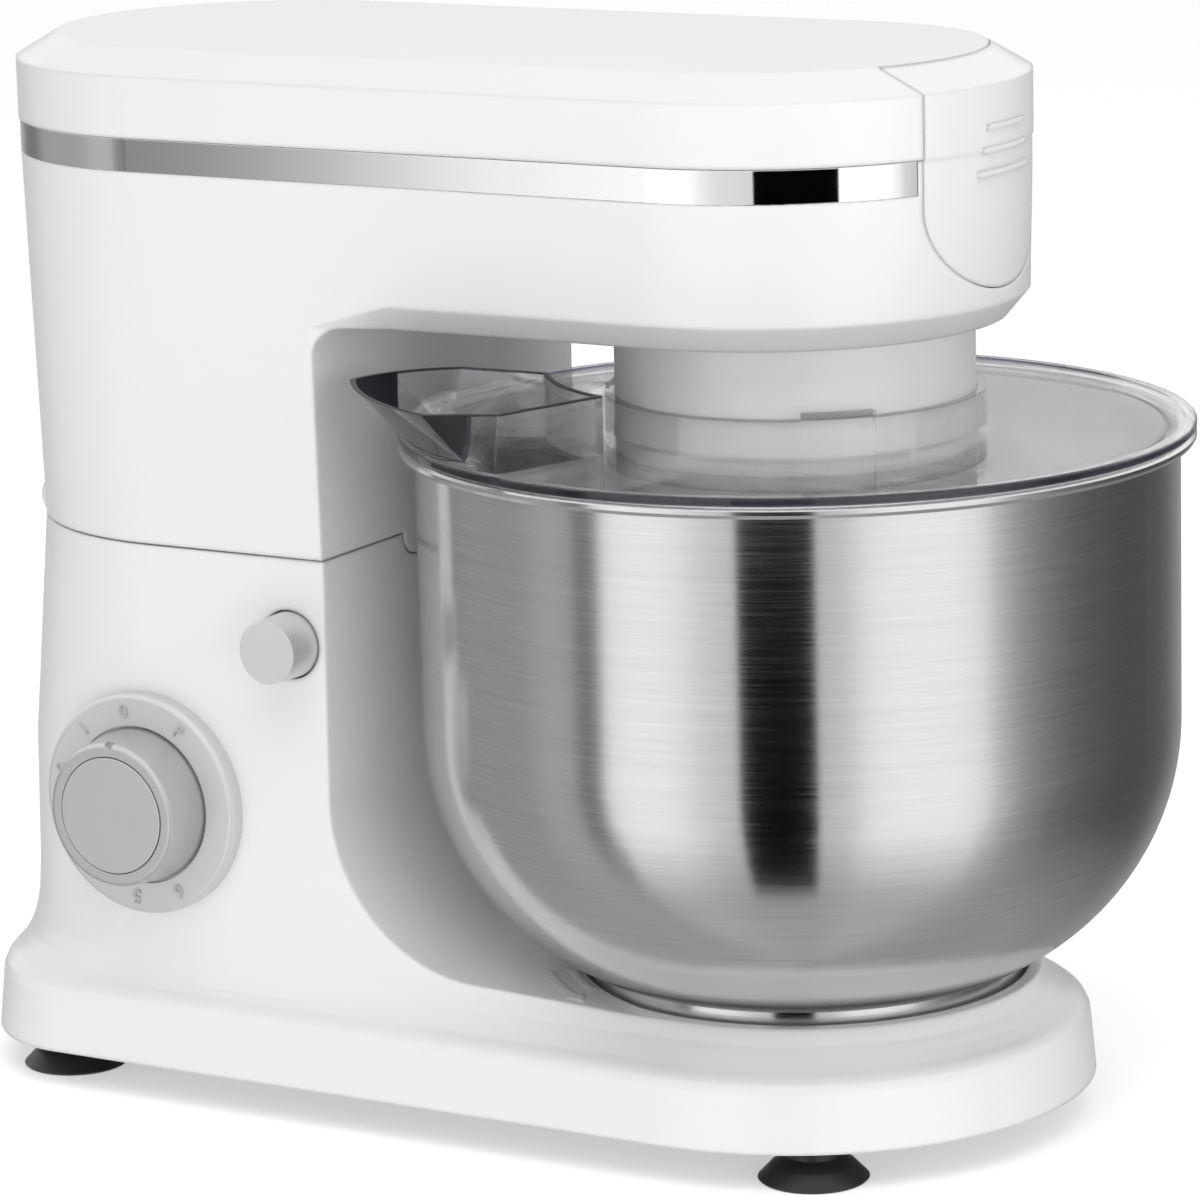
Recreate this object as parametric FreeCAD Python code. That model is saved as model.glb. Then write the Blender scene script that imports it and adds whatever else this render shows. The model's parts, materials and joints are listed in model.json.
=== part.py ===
# Tilt-head stand mixer with a steel bowl, built as separate named pieces.
# Millimetres. Z is up, the floor is z = 0, the bowl stands on the Z axis,
# +X points away from the column, -Y is the side with the speed knob.
import math
import os

import FreeCAD
import Part

os.makedirs("parts", exist_ok=True)
V = FreeCAD.Vector
UP = V(0, 0, 1)

# ---- overall sizes ----
WALL = 2.6                 # moulded housing wall
SEAM_Z = 167.5             # parting plane between base and tilting head
SEAM_GAP = 0.6
HEAD_UNDER_Z = 236.5       # underside of the overhanging head
COVER_HALF = 34.0          # half width of the cover over the front outlet
BAND_END_Y = 35.6          # where the chrome band stops beside that cover
BAND_Z = 278.5             # lower edge of the chrome band
BAND_H = 9.7
CAP_SIDE_TOP_Z = 306.3     # where the top cover's bevel starts
TOP_Z = 313.5
HEAD_HALF = 74.0           # half width of the head at the band
HEAD_REAR_X = -253.4
SEAM_HALF = 71.5           # half width of column and head at the seam
SEAM_REAR_X = -250.9
COLUMN_FRONT_X = -118.0
TOP_INSET = 12.0           # width of the bevel round the top cover
RUNOUT = 26.0              # length over which the lower bevel fades into the column

# ---- base ----
FOOT_H = 11.5              # clearance under the skirt
SKIRT_HALF = 86.7
SKIRT_REAR_X = -264.7
SKIRT_TOP_Z = 29.0
DECK_Z = 43.5              # flat top of the base under the bowl
PEDESTAL_R = 69.5
SWEEP_R = 50.0             # concave sweep from column front to deck
SWEEP_X = -68.0
SWEEP_Z = 96.0
PLATE_T = 2.4
FOOT_R = 16.0
FOOT_X_FRONT = 34.6
FOOT_X_REAR = -221.5
FOOT_Y = 61.0

# ---- bowl, seat and lid ----
RIM_R = 115.0
RIM_Z = 203.0
BOWL_R = 110.4
BOWL_T = 1.0
BOWL_CURVE_Z = 118.0       # straight wall above, dish below
BOWL_CURVE_R = 78.2
BOWL_FLOOR_Z = 47.0
BOWL_FOOT_R = 64.5
SEAT_DROP = 6.1            # depth of the seat recess in the deck
SEAT_LUG_DEG = 32.0
SEAT_RING_W = 12.5         # ring between the seat's boss and the outside of the bowl foot
SEAT_BOSS_R = BOWL_FOOT_R - SEAT_RING_W
LID_GAP = 0.25
LID_T = 2.0
LID_EDGE_T = 2.6
NECK_R = 52.0
HEAD_FRONT_ROOM = 16.0     # from the neck to the front of the head
HEAD_FRONT_X = NECK_R + HEAD_FRONT_ROOM
SOCKET_X = NECK_R + 3.0    # plate of the front outlet, clear of the gear frame
BRACKET_X = -NECK_R        # bracket behind the gear frame
NECK_BOTTOM_Z = 199.0
COLLAR_GAP = 0.6
COLLAR_T = 2.4
COLLAR_TOP_Z = 215.5
CHUTE_TOP_Z = 222.0
CHUTE_T = 1.6
CHUTE_ARC_R = 71.0

# ---- controls ----
DIAL_X = -182.0
DIAL_Z = 89.5
DIAL_RING_R = 33.6
DIAL_RING_FRONT_Y = -78.0
KNOB_R = 21.6
KNOB_BASE_R = 23.4
KNOB_FRONT_Y = -92.5
KNOB_CAP_R = 17.5
SHAFT_R = 3.0
RUN_GAP = 0.05             # radial running fit of a spindle in its hole
MOVE_GAP = 0.3             # free gap between faces of moving pieces
BUTTON_X = -130.5
BUTTON_Z = 141.8
BUTTON_R = 10.0
BUTTON_TIP_R = 9.3
BUTTON_FRONT_Y = -83.5
BUTTON_TRAVEL = 5.0
SPRING_WIRE_R = 0.45

# ---- hinge ----
HINGE_X = -245.0
HINGE_Z = 168.0
HINGE_PIN_R = 3.0
KNUCKLE_R = 7.0
HINGE_HALF = 24.0
TILT_DEG = 35.0
TONGUE_HALF = 27.0
TONGUE_LOW_Z = 160.6
TONGUE_R = 6.2

# ---- drive ----
MOTOR_Z = 270.3
MOTOR_R = 29.0
MOTOR_X0 = -184.0
MOTOR_X1 = -130.0
MOTOR_SHAFT_R = 4.0
PINION_R = 8.0
PINION_X0 = -33.0
PINION_X1 = -21.0
CROWN_R = 36.0
CROWN_TOP_Z = 262.0
DRIVE_SHAFT_R = 5.0
RING_GEAR_R = 38.0         # pitch radius of the fixed internal gear
PLANET_R = 12.0            # pitch radius of the planet pinion
ORBIT_R = RING_GEAR_R - PLANET_R
CARRIER_R = 47.0
BEATER_SHAFT_R = 5.5


def save(name, shape):
    if shape.ShapeType == "Compound" and len(shape.Solids) == 1:
        shape = shape.Solids[0]
    shape.exportStep("parts/" + name + ".step")
    print(name, len(shape.Solids), "solid(s)", round(shape.Volume / 1000.0, 2), "cm3", shape.isValid())


def cyl(r, z0, z1, x=0.0, y=0.0):
    return Part.makeCylinder(r, z1 - z0, V(x, y, z0), UP)


def xcyl(r, x0, x1, y, z):
    return Part.makeCylinder(r, x1 - x0, V(x0, y, z), V(1, 0, 0))


def ycyl(r, y0, y1, x, z):
    return Part.makeCylinder(r, y1 - y0, V(x, y0, z), V(0, 1, 0))


def ycone(r0, r1, y0, y1, x, z):
    return Part.makeCone(r0, r1, y1 - y0, V(x, y0, z), V(0, 1, 0))


def box(x0, x1, y0, y1, z0, z1):
    return Part.makeBox(x1 - x0, y1 - y0, z1 - z0, V(x0, y0, z0))


def fuse(first, *others):
    return first.fuse(list(others)).removeSplitter()


def group(shapes):
    return Part.makeCompound(shapes)


def revolve(points, x=0.0):
    # closed profile of (radius, z) points turned about the vertical axis
    wire = Part.makePolygon([V(r, 0, z) for r, z in points + points[:1]])
    solid = Part.Face(wire).revolve(V(0, 0, 0), UP, 360)
    return solid.translated(V(x, 0, 0))


def outline(z, half, rear_x, rear_a, front_x, front_r):
    # plan of the body: half ellipse behind, half circle in front, straight sides
    cx = rear_x + rear_a
    fx = front_x - front_r
    p_rear_l = V(cx, half, z)
    p_rear_r = V(cx, -half, z)
    p_front_l = V(fx, front_r, z)
    p_front_r = V(fx, -front_r, z)
    if abs(rear_a - half) < 0.001:
        rear = Part.Arc(p_rear_l, V(rear_x, 0, z), p_rear_r).toShape()
    elif rear_a < half:
        ell = Part.Ellipse(V(cx, half, z), V(cx - rear_a, 0, z), V(cx, 0, z))
        rear = Part.ArcOfEllipse(ell, 0, math.pi).toShape()
    else:
        ell = Part.Ellipse(V(cx - rear_a, 0, z), V(cx, half, z), V(cx, 0, z))
        rear = Part.ArcOfEllipse(ell, -math.pi / 2, math.pi / 2).toShape()
    front = Part.Arc(p_front_r, V(front_x, 0, z), p_front_l).toShape()
    side_r = Part.makeLine(p_rear_r, p_front_r)
    side_l = Part.makeLine(p_front_l, p_rear_l)
    return Part.Wire(Part.__sortEdges__([rear, side_r, front, side_l]))


def loft(sections, inset=0.0):
    wires = []
    for z, half, rear_x, rear_a, front_x, front_r in sections:
        wires.append(outline(z, half - inset, rear_x + inset, rear_a - inset, front_x - inset, front_r - inset))
    return Part.makeLoft(wires, True, True)


def blend(z, low, high):
    # section between two others at height z
    t = (z - low[0]) / (high[0] - low[0])
    return tuple(a + t * (b - a) for a, b in zip(low, high))


# ---------------------------------------------------------------- base ----
SKIRT_LOW = (FOOT_H, SKIRT_HALF, SKIRT_REAR_X, 53.0, 85.0, SKIRT_HALF)
SKIRT_TOP = (SKIRT_TOP_Z, SKIRT_HALF - 1.7, SKIRT_REAR_X + 1.6, 52.6, 83.4, SKIRT_HALF - 1.7)
ROUND_A = (31.2, SKIRT_HALF - 2.6, SKIRT_REAR_X + 2.5, 52.4, 82.3, SKIRT_HALF - 2.8)
SHOULDER = (32.6, SKIRT_HALF - 4.1, SKIRT_REAR_X + 3.6, 52.6, 80.6, SKIRT_HALF - 4.7)
ROUND_B = (34.0, SKIRT_HALF - 6.1, SKIRT_REAR_X + 4.6, 53.4, 78.2, SKIRT_HALF - 7.3)
LEDGE = (36.0, SKIRT_HALF - 7.9, SKIRT_REAR_X + 5.6, 54.6, 75.6, SKIRT_HALF - 10.1)
SWEEP_LOW = (39.2, SKIRT_HALF - 9.5, SKIRT_REAR_X + 6.8, 56.8, 72.4, SKIRT_HALF - 13.8)
DECK_EDGE = (DECK_Z, SKIRT_HALF - 10.6, SKIRT_REAR_X + 7.9, 58.6, PEDESTAL_R, PEDESTAL_R)
SWEEP_HIGH = (50.0, SKIRT_HALF - 11.5, SKIRT_REAR_X + 8.6, 61.0, PEDESTAL_R, PEDESTAL_R)
SWEEP_END = (60.0, SKIRT_HALF - 12.1, SKIRT_REAR_X + 8.8, 62.6, PEDESTAL_R, PEDESTAL_R)
COLUMN_MID = (100.0, 73.6, -255.8, 65.0, PEDESTAL_R, PEDESTAL_R)
COLUMN_TOP = (SEAM_Z - SEAM_GAP / 2, SEAM_HALF, SEAM_REAR_X, SEAM_HALF, PEDESTAL_R, PEDESTAL_R)


def sweep_cutter(grow, z_top=400.0):
    # everything in front of the column and above the deck
    r = SWEEP_R + grow
    x0 = COLUMN_FRONT_X - grow
    deck = DECK_Z - grow
    dip = math.sqrt(0.5)
    a = V(x0, -200, z_top)
    b = V(x0, -200, SWEEP_Z)
    m = V(SWEEP_X - r * dip, -200, SWEEP_Z - r * dip)
    c = V(SWEEP_X, -200, SWEEP_Z - r)
    d = V(SWEEP_X + 48.0, -200, deck)
    e = V(300, -200, deck)
    f = V(300, -200, z_top)
    edges = [Part.makeLine(a, b), Part.Arc(b, m, c).toShape(), Part.makeLine(c, d)]
    edges += [Part.makeLine(d, e), Part.makeLine(e, f), Part.makeLine(f, a)]
    return Part.Face(Part.Wire(edges)).extrude(V(0, 400, 0))


def base_shape(inset):
    lower = [SKIRT_LOW, SKIRT_TOP, ROUND_A, SHOULDER, ROUND_B, LEDGE, SWEEP_LOW, DECK_EDGE]
    upper = [DECK_EDGE, SWEEP_HIGH, SWEEP_END, COLUMN_MID, COLUMN_TOP]
    foot = loft(lower, inset)
    column = loft(upper, inset)
    return foot.fuse(column)


def tongue_plate(grow, x0, x1, z_top):
    # the head's tongue that hangs over the middle of the seam in front
    r = TONGUE_R + grow
    half = TONGUE_HALF + grow
    low = TONGUE_LOW_Z - grow
    wide = box(x0, x1, -half, half, low + r, z_top)
    deep = box(x0, x1, -half + r, half - r, low, z_top)
    return fuse(wide, deep, xcyl(r, x0, x1, -half + r, low + r), xcyl(r, x0, x1, half - r, low + r))


def make_base_housing():
    outer = base_shape(0.0).cut(sweep_cutter(0.0))
    inner = base_shape(WALL).cut(sweep_cutter(WALL))
    inner = inner.common(box(-400, 200, -200, 200, FOOT_H - 1, SEAM_Z - SEAM_GAP / 2 - WALL))
    skirt_low_in = [(FOOT_H - 5,) + SKIRT_LOW[1:], SKIRT_LOW]
    shell = outer.cut(inner).cut(loft(skirt_low_in, WALL))
    # seat recess under the bowl, with its own floor
    floor_z = DECK_Z - SEAT_DROP
    shell = shell.fuse(cyl(BOWL_FOOT_R + 4.2, floor_z - WALL, DECK_Z - 1.0))
    shell = shell.cut(cyl(BOWL_FOOT_R + 1.4, floor_z, DECK_Z + 5))
    # holes for the knob spindle and the release button
    shell = shell.cut(ycyl(SHAFT_R + 1.6, -90, -60, DIAL_X, DIAL_Z))
    shell = shell.cut(ycyl(BUTTON_R + MOVE_GAP, -90, -60, BUTTON_X, BUTTON_Z))
    # notch at the rear for the head's hinge knuckle, and the two base knuckles
    top = SEAM_Z - SEAM_GAP / 2
    shell = shell.cut(box(-262, HINGE_X + KNUCKLE_R + 1, -HINGE_HALF, HINGE_HALF, top - 9, top + 1))
    shelf = box(-249, HINGE_X + KNUCKLE_R + 3.6, -HINGE_HALF - 2, HINGE_HALF + 2, top - 11.6, top - 9)
    wall_in = box(HINGE_X + KNUCKLE_R + 1, HINGE_X + KNUCKLE_R + 3.6, -HINGE_HALF - 2, HINGE_HALF + 2, top - 10, top)
    side_a = box(-247, HINGE_X + KNUCKLE_R + 2, HINGE_HALF, HINGE_HALF + 2, top - 10, top)
    side_b = side_a.mirror(V(0, 0, 0), V(0, 1, 0))
    shell = shell.fuse([shelf.common(outer), wall_in, side_a.common(outer), side_b.common(outer)])
    ears = []
    for y0, y1 in ((-HINGE_HALF, -HINGE_HALF + 9), (HINGE_HALF - 9, HINGE_HALF)):
        ear = ycyl(KNUCKLE_R, y0, y1, HINGE_X, HINGE_Z)
        web = box(HINGE_X - 4.5, HINGE_X + 4.5, y0, y1, top - 10, HINGE_Z - 3)
        ears.append(ear.fuse(web))
    shell = shell.fuse(ears)
    shell = shell.cut(ycyl(HINGE_PIN_R, -HINGE_HALF - 3, HINGE_HALF + 3, HINGE_X, HINGE_Z))
    # slot in the column front for the head's locating tongue
    shell = shell.cut(tongue_plate(SEAM_GAP, COLUMN_FRONT_X - WALL - 2, COLUMN_FRONT_X + 5, 200))
    # opening in the column top for the latch nose
    shell = shell.cut(box(-168, -150, -12, 12, top - 10, top + 5))
    # ribs that carry the bottom plate
    ledge = loft([(FOOT_H + PLATE_T + 1.2,) + SKIRT_LOW[1:], (FOOT_H + PLATE_T + 4.2,) + SKIRT_LOW[1:]], 1.2)
    ledge = ledge.cut(loft([(FOOT_H,) + SKIRT_LOW[1:], (FOOT_H + 9,) + SKIRT_LOW[1:]], 8.0))
    shell = shell.fuse(ledge.common(outer))
    return shell.removeSplitter()


def foot_places():
    places = []
    for x in (FOOT_X_FRONT, FOOT_X_REAR):
        for y in (-FOOT_Y, FOOT_Y):
            places.append((x, y))
    return places


def screw_places():
    return [(-235, 0), (-150, 70), (-150, -70), (-60, 72), (-60, -72), (70, 0)]


def make_bottom_plate():
    z0 = FOOT_H + 1.2
    plate = loft([(z0,) + SKIRT_LOW[1:], (z0 + PLATE_T,) + SKIRT_LOW[1:]], WALL + 0.8)
    for x, y in foot_places():
        plate = plate.cut(cyl(4.2, z0 - 1, z0 + 5, x, y))
    for x, y in screw_places():
        plate = plate.cut(cyl(2.0, z0 - 1, z0 + 5, x, y))
    for i in range(7):
        x = -206 + 9 * i
        plate = plate.cut(box(x, x + 3.4, -24, 24, z0 - 1, z0 + 5))
    return plate


def make_feet():
    z1 = FOOT_H + 1.2
    cup = [(0, 2.2), (11.5, 1.6), (13.2, 0.0), (FOOT_R - 0.6, 0.0), (FOOT_R, 0.6), (12.2, 4.6), (8.6, 7.2), (8.6, z1), (0, z1)]
    neck = cyl(4.0, z1 - 1, z1 + PLATE_T)
    top = cyl(6.4, z1 + PLATE_T, z1 + PLATE_T + 2)
    one = fuse(revolve(cup), neck, top)
    return group([one.translated(V(x, y, 0)) for x, y in foot_places()])


def make_plate_screws():
    z0 = FOOT_H + 1.2
    one = fuse(cyl(3.4, z0 - 1.6, z0), cyl(1.9, z0 - 0.5, z0 + PLATE_T + 3.2))
    one = one.cut(box(-2.6, 2.6, -0.4, 0.4, z0 - 2, z0 - 0.8))
    return group([one.translated(V(x, y, 0)) for x, y in screw_places()])


# --------------------------------------------------------- seat and bowl ----
def sector(r0, r1, z0, z1, mid_deg, width_deg):
    ring = cyl(r1, z0, z1).cut(cyl(r0, z0 - 1, z1 + 1))
    far = r1 * 3
    a = math.radians(mid_deg - width_deg / 2)
    b = math.radians(mid_deg + width_deg / 2)
    pts = [V(0, 0, z0 - 2), V(far * math.cos(a), far * math.sin(a), z0 - 2)]
    pts += [V(far * math.cos(b), far * math.sin(b), z0 - 2), V(0, 0, z0 - 2)]
    wedge = Part.Face(Part.makePolygon(pts)).extrude(V(0, 0, z1 - z0 + 4))
    return ring.common(wedge)


def make_bowl_seat():
    z0 = DECK_Z - SEAT_DROP
    disc = cyl(BOWL_FOOT_R + 1.2, z0, z0 + 2.0)
    boss = cyl(SEAT_BOSS_R, z0, z0 + 5.7)
    seat = disc.fuse(boss)
    for i in range(4):
        seat = seat.fuse(sector(SEAT_BOSS_R - 0.5, SEAT_BOSS_R + 3.6, z0 + 4.3, z0 + 5.7, 45 + 90 * i, SEAT_LUG_DEG))
    return seat.cut(cyl(SEAT_BOSS_R - 22.0, z0 + 2.0, z0 + 8)).removeSplitter()


def bowl_profile(offset):
    # outer wall curve from the rim down to the floor, moved inwards by offset
    cx = BOWL_R - BOWL_CURVE_R
    r = BOWL_CURVE_R - offset
    floor = BOWL_FLOOR_Z + offset
    start = V(BOWL_R - offset, 0, BOWL_CURVE_Z)
    end_dz = BOWL_CURVE_Z - floor
    end = V(cx + math.sqrt(r * r - end_dz * end_dz), 0, floor)
    ang = math.atan2(-end_dz, end.x - cx) / 2
    mid = V(cx + r * math.cos(ang), 0, BOWL_CURVE_Z + r * math.sin(ang))
    return start, mid, end


def make_bowl():
    s0, m0, e0 = bowl_profile(0.0)
    s1, m1, e1 = bowl_profile(BOWL_T)
    top = RIM_Z - 3.0
    edges = [Part.makeLine(V(0, 0, e0.z), e0), Part.Arc(e0, m0, s0).toShape()]
    edges += [Part.makeLine(s0, V(s0.x, 0, top)), Part.makeLine(V(s0.x, 0, top), V(s1.x, 0, top))]
    edges += [Part.makeLine(V(s1.x, 0, top), s1), Part.Arc(s1, m1, e1).toShape()]
    edges += [Part.makeLine(e1, V(0, 0, e1.z)), Part.makeLine(V(0, 0, e1.z), V(0, 0, e0.z))]
    wall = Part.Face(Part.Wire(edges)).revolve(V(0, 0, 0), UP, 360)
    roll = [(s1.x, top - 0.5), (s0.x, top - 0.5), (RIM_R - 0.8, top - 0.2), (RIM_R, top + 0.9)]
    roll += [(RIM_R, RIM_Z - 1.0), (RIM_R - 1.0, RIM_Z), (s1.x + 0.6, RIM_Z), (s1.x, RIM_Z - 0.6)]
    z0 = DECK_Z - SEAT_DROP + 2.0 + MOVE_GAP
    foot = [(BOWL_FOOT_R - 8, z0), (BOWL_FOOT_R, z0), (BOWL_FOOT_R, BOWL_FLOOR_Z + 2.6)]
    foot += [(BOWL_FOOT_R - 1.4, BOWL_FLOOR_Z + 1.2), (BOWL_FOOT_R - 8, BOWL_FLOOR_Z + 0.5)]
    bowl = wall.fuse([revolve(roll), revolve(foot)])
    for i in range(4):
        bowl = bowl.fuse(sector(SEAT_BOSS_R + 0.6, BOWL_FOOT_R - 7, z0 + 0.1, z0 + 1.3, 45 + 90 * i, SEAT_LUG_DEG))
    return bowl.removeSplitter()


# ----------------------------------------------------------------- head ----
def head_section(z):
    low = (SEAM_Z, SEAM_HALF, SEAM_REAR_X, SEAM_HALF, HEAD_FRONT_X - 2.5, SEAM_HALF)
    high = (BAND_Z, HEAD_HALF, HEAD_REAR_X, HEAD_HALF, HEAD_FRONT_X, HEAD_HALF)
    s = blend(z, low, high)
    return (s[0], s[1], s[2], s[1], s[4], s[1])


def shrink(section, z, d):
    return (z, section[1] - d, section[2] + d, section[3] - d, section[4] - d, section[5] - d)


def straight_up(section, z):
    return (z,) + section[1:]


BAND_SECTION = head_section(BAND_Z)


def bevel_runout(side, low, bevel):
    # fills the lower bevel where it meets the column, and fades out forwards
    x0 = COLUMN_FRONT_X
    x1 = COLUMN_FRONT_X + RUNOUT
    a = V(x0, side * (low[1] - 1), low[0])
    b = V(x0, side * head_section(low[0])[1], low[0])
    c = V(x0, side * bevel[1], bevel[0])
    d = V(x1, side * (low[1] - 1), low[0])
    e = V(x1, side * bevel[1], bevel[0])
    f = V(x0, side * (bevel[1] - 8), bevel[0])
    g = V(x1, side * (bevel[1] - 8), bevel[0])
    faces = []
    for corners in ((a, b, c, f), (a, b, d), (b, c, e), (b, e, d), (c, e, g, f), (a, d, g, f), (d, e, g)):
        faces.append(Part.Face(Part.makePolygon(list(corners) + [corners[0]])))
    solid = Part.makeSolid(Part.makeShell(faces))
    if solid.Volume < 0:
        solid.reverse()
    return solid


def runout_plan(low):
    # plan of the corner fillet, narrowing forwards with the same slant as the run-out
    x0 = COLUMN_FRONT_X
    x1 = COLUMN_FRONT_X + RUNOUT
    wide = head_section(low[0])[1]
    slim = low[1] - 1
    corners = [V(x0, -wide, 0), V(x1, -slim, 0), V(x1, slim, 0), V(x0, wide, 0), V(x0, -wide, 0)]
    return Part.Face(Part.makePolygon(corners)).extrude(V(0, 0, 400))


def head_shape(inset):
    # overhanging upper part, with a bevel along its lower edge
    under = HEAD_UNDER_Z + inset
    bevel = head_section(244.0)
    low = shrink(bevel, under, 6.3 - inset * 0.4)
    upper = loft([low, bevel, BAND_SECTION, straight_up(BAND_SECTION, BAND_Z + BAND_H)], inset)
    # column part behind the bowl
    z0 = SEAM_Z + SEAM_GAP / 2 + inset
    tall = loft([head_section(z0), head_section(250.0)], inset)
    x1 = COLUMN_FRONT_X - inset
    column = tall.common(box(-400, x1, -200, 200, z0, 250.0))
    r = 9.0
    block = box(x1, x1 + r, -200, 200, under - r, under + (1 if inset else 0))
    corner = block.cut(ycyl(r, -200, 200, x1 + r, under - r))
    if inset:
        return upper.fuse([column, corner.common(box(-400, 200, -low[1] + 4, low[1] - 4, 0, 400))]).removeSplitter()
    wedges = [bevel_runout(side, low, bevel) for side in (-1, 1)]
    corner = corner.common(tall).common(runout_plan(low))
    return upper.fuse([column, corner] + wedges).removeSplitter()


def cover_prism(gap):
    # front view shape of the removable outlet cover: straight sides, round lower end
    half = COVER_HALF - gap
    drop = 26.5 - gap
    z = 275.0
    ell = Part.Ellipse(V(20, half, z), V(20, 0, z - drop), V(20, 0, z))
    low = Part.ArcOfEllipse(ell, 0, math.pi).toShape()
    p0 = V(20, half, z)
    p1 = V(20, half, TOP_Z + 5)
    p2 = V(20, -half, TOP_Z + 5)
    p3 = V(20, -half, z)
    edges = [low, Part.makeLine(p0, p1), Part.makeLine(p1, p2), Part.makeLine(p2, p3)]
    prism = Part.Face(Part.Wire(Part.__sortEdges__(edges))).extrude(V(80, 0, 0))
    core = cyl(HEAD_HALF - TOP_INSET + gap, 200, 400, HEAD_FRONT_X - HEAD_HALF, 0)
    return prism.cut(core)


def cap_shape(inset):
    s = shrink(BAND_SECTION, BAND_Z + BAND_H, -0.4)
    side = straight_up(s, CAP_SIDE_TOP_Z)
    flat = shrink(s, TOP_Z, TOP_INSET + 0.4)
    if inset:
        flat = shrink(s, TOP_Z - inset, TOP_INSET + 0.4 - inset)
    return loft([s, side, flat], inset)


def make_top_cover():
    z0 = BAND_Z + BAND_H + 0.2
    shell = cap_shape(0.0).cut(cap_shape(WALL))
    shell = shell.common(box(-400, 200, -200, 200, z0, TOP_Z + 1))
    return shell.cut(cover_prism(0.0)).removeSplitter()


def make_head_housing():
    outer = head_shape(0.0)
    inner = head_shape(WALL)
    top = BAND_Z + BAND_H
    shell = outer.cut(inner).common(box(-400, 200, -200, 200, 100, top))
    # ledge inside the band groove, then the groove itself
    back = loft([BAND_SECTION, straight_up(BAND_SECTION, top)], 1.2)
    back = back.cut(loft([straight_up(BAND_SECTION, BAND_Z - 1), straight_up(BAND_SECTION, top + 1)], 1.2 + WALL))
    groove = loft([BAND_SECTION, straight_up(BAND_SECTION, top + 1)], -1.0)
    groove = groove.cut(loft([straight_up(BAND_SECTION, BAND_Z - 1), straight_up(BAND_SECTION, top + 2)], 1.2))
    groove = groove.common(fuse(box(-400, 40, -200, 200, 0, 400),
                                box(30, 80, -200, -BAND_END_Y + 0.1, 0, 400),
                                box(30, 80, BAND_END_Y - 0.1, 200, 0, 400)))
    shell = shell.cut(groove).fuse(back)
    shell = shell.cut(cover_prism(0.0))
    # opening above the neck
    shell = shell.cut(cyl(NECK_R - WALL, 200, HEAD_UNDER_Z + WALL + 2))
    # rear hinge knuckle between the base ears
    z0 = SEAM_Z + SEAM_GAP / 2
    notch = box(-262, HINGE_X + KNUCKLE_R + 1, -HINGE_HALF - 1.2, HINGE_HALF + 1.2, z0 - 1, z0 + 10)
    shell = shell.cut(notch)
    x1 = HINGE_X + KNUCKLE_R + 1
    frame = box(-249, x1 + WALL, -HINGE_HALF - 3.4, HINGE_HALF + 3.4, z0, z0 + 12.4)
    frame = frame.cut(box(-300, x1, -HINGE_HALF - 1.2, HINGE_HALF + 1.2, z0 - 1, z0 + 10))
    shell = shell.fuse(frame.common(outer))
    half = HINGE_HALF - 9 - MOVE_GAP
    knuckle = ycyl(KNUCKLE_R, -half, half, HINGE_X, HINGE_Z)
    arm = box(HINGE_X, x1 + 1, -half, half, HINGE_Z + 1, HINGE_Z + 6.6)
    shell = shell.fuse([knuckle, arm])
    shell = shell.cut(ycyl(HINGE_PIN_R + RUN_GAP, -HINGE_HALF - 1, HINGE_HALF + 1, HINGE_X, HINGE_Z))
    # locating tongue at the column front and latch catch behind it
    tongue = tongue_plate(0.0, COLUMN_FRONT_X - 3.2, COLUMN_FRONT_X, z0 + 3)
    catch = box(-160.0, -157.4, -7, 7, z0 - 5.4, z0 + 1.5)
    for y in (-50.0, 50.0):
        dimple = Part.makeSphere(3.4, V(COLUMN_FRONT_X + 4.2, y, HEAD_UNDER_Z - 1.6))
        shell = shell.cut(dimple.common(box(-130, -100, -80, 80, 220, HEAD_UNDER_Z - 1.0)))
    return shell.fuse([tongue, catch]).removeSplitter()


def make_chrome_band():
    top = BAND_Z + BAND_H
    ring = loft([BAND_SECTION, straight_up(BAND_SECTION, top)], 0.0)
    ring = ring.cut(loft([straight_up(BAND_SECTION, BAND_Z - 1), straight_up(BAND_SECTION, top + 1)], 1.2))
    keep = fuse(box(-400, 40, -200, 200, 0, 400), box(30, 80, -200, -BAND_END_Y - 0.1, 0, 400),
                box(30, 80, BAND_END_Y + 0.1, 200, 0, 400))
    return ring.common(keep).common(box(-400, 200, -200, 200, BAND_Z, top))


def make_front_cover():
    wall = 2.4
    body = head_shape(0.0).common(box(-10, 200, -100, 100, 0, BAND_Z + BAND_H))
    body = body.cut(head_shape(wall))
    cap = cap_shape(0.0).common(box(-10, 200, -100, 100, BAND_Z + BAND_H, TOP_Z))
    cap = cap.cut(cap_shape(wall))
    cover = body.fuse(cap).common(cover_prism(MOVE_GAP))
    x_front = HEAD_FRONT_X
    for i in range(3):
        z = 281.0 + 6.4 * i
        long = 15.0 - 2.0 * i
        bar = box(x_front - 13, x_front + 6, -long, long, z, z + 1.8)
        skin = cyl(HEAD_HALF + 1.2, z - 1, z + 3, HEAD_FRONT_X - HEAD_HALF, 0)
        skin = skin.cut(cyl(HEAD_HALF - 1.5, z - 2, z + 4, HEAD_FRONT_X - HEAD_HALF, 0))
        cover = cover.fuse(bar.common(skin))
    # stem that plugs into the outlet socket
    stem = xcyl(9.0, SOCKET_X + 1.4, HEAD_FRONT_X - 1.4, 0, 272)
    return cover.fuse(stem).removeSplitter()


def make_outlet_socket():
    x = SOCKET_X
    plate = box(x, x + 2.4, -22, 22, 250, 294)
    hub = xcyl(15.0, x - 5.0, x + 7.0, 0, 272)
    bore = xcyl(10.6, x + 1.0, x + 9.0, 0, 272)
    square = box(x - 9.0, x + 3.0, -4.2, 4.2, 267.8, 276.2)
    feet = box(x, x + 2.4, -12, 12, HEAD_UNDER_Z + WALL, 252)
    return fuse(plate, hub, feet).cut(bore).cut(square)


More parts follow.
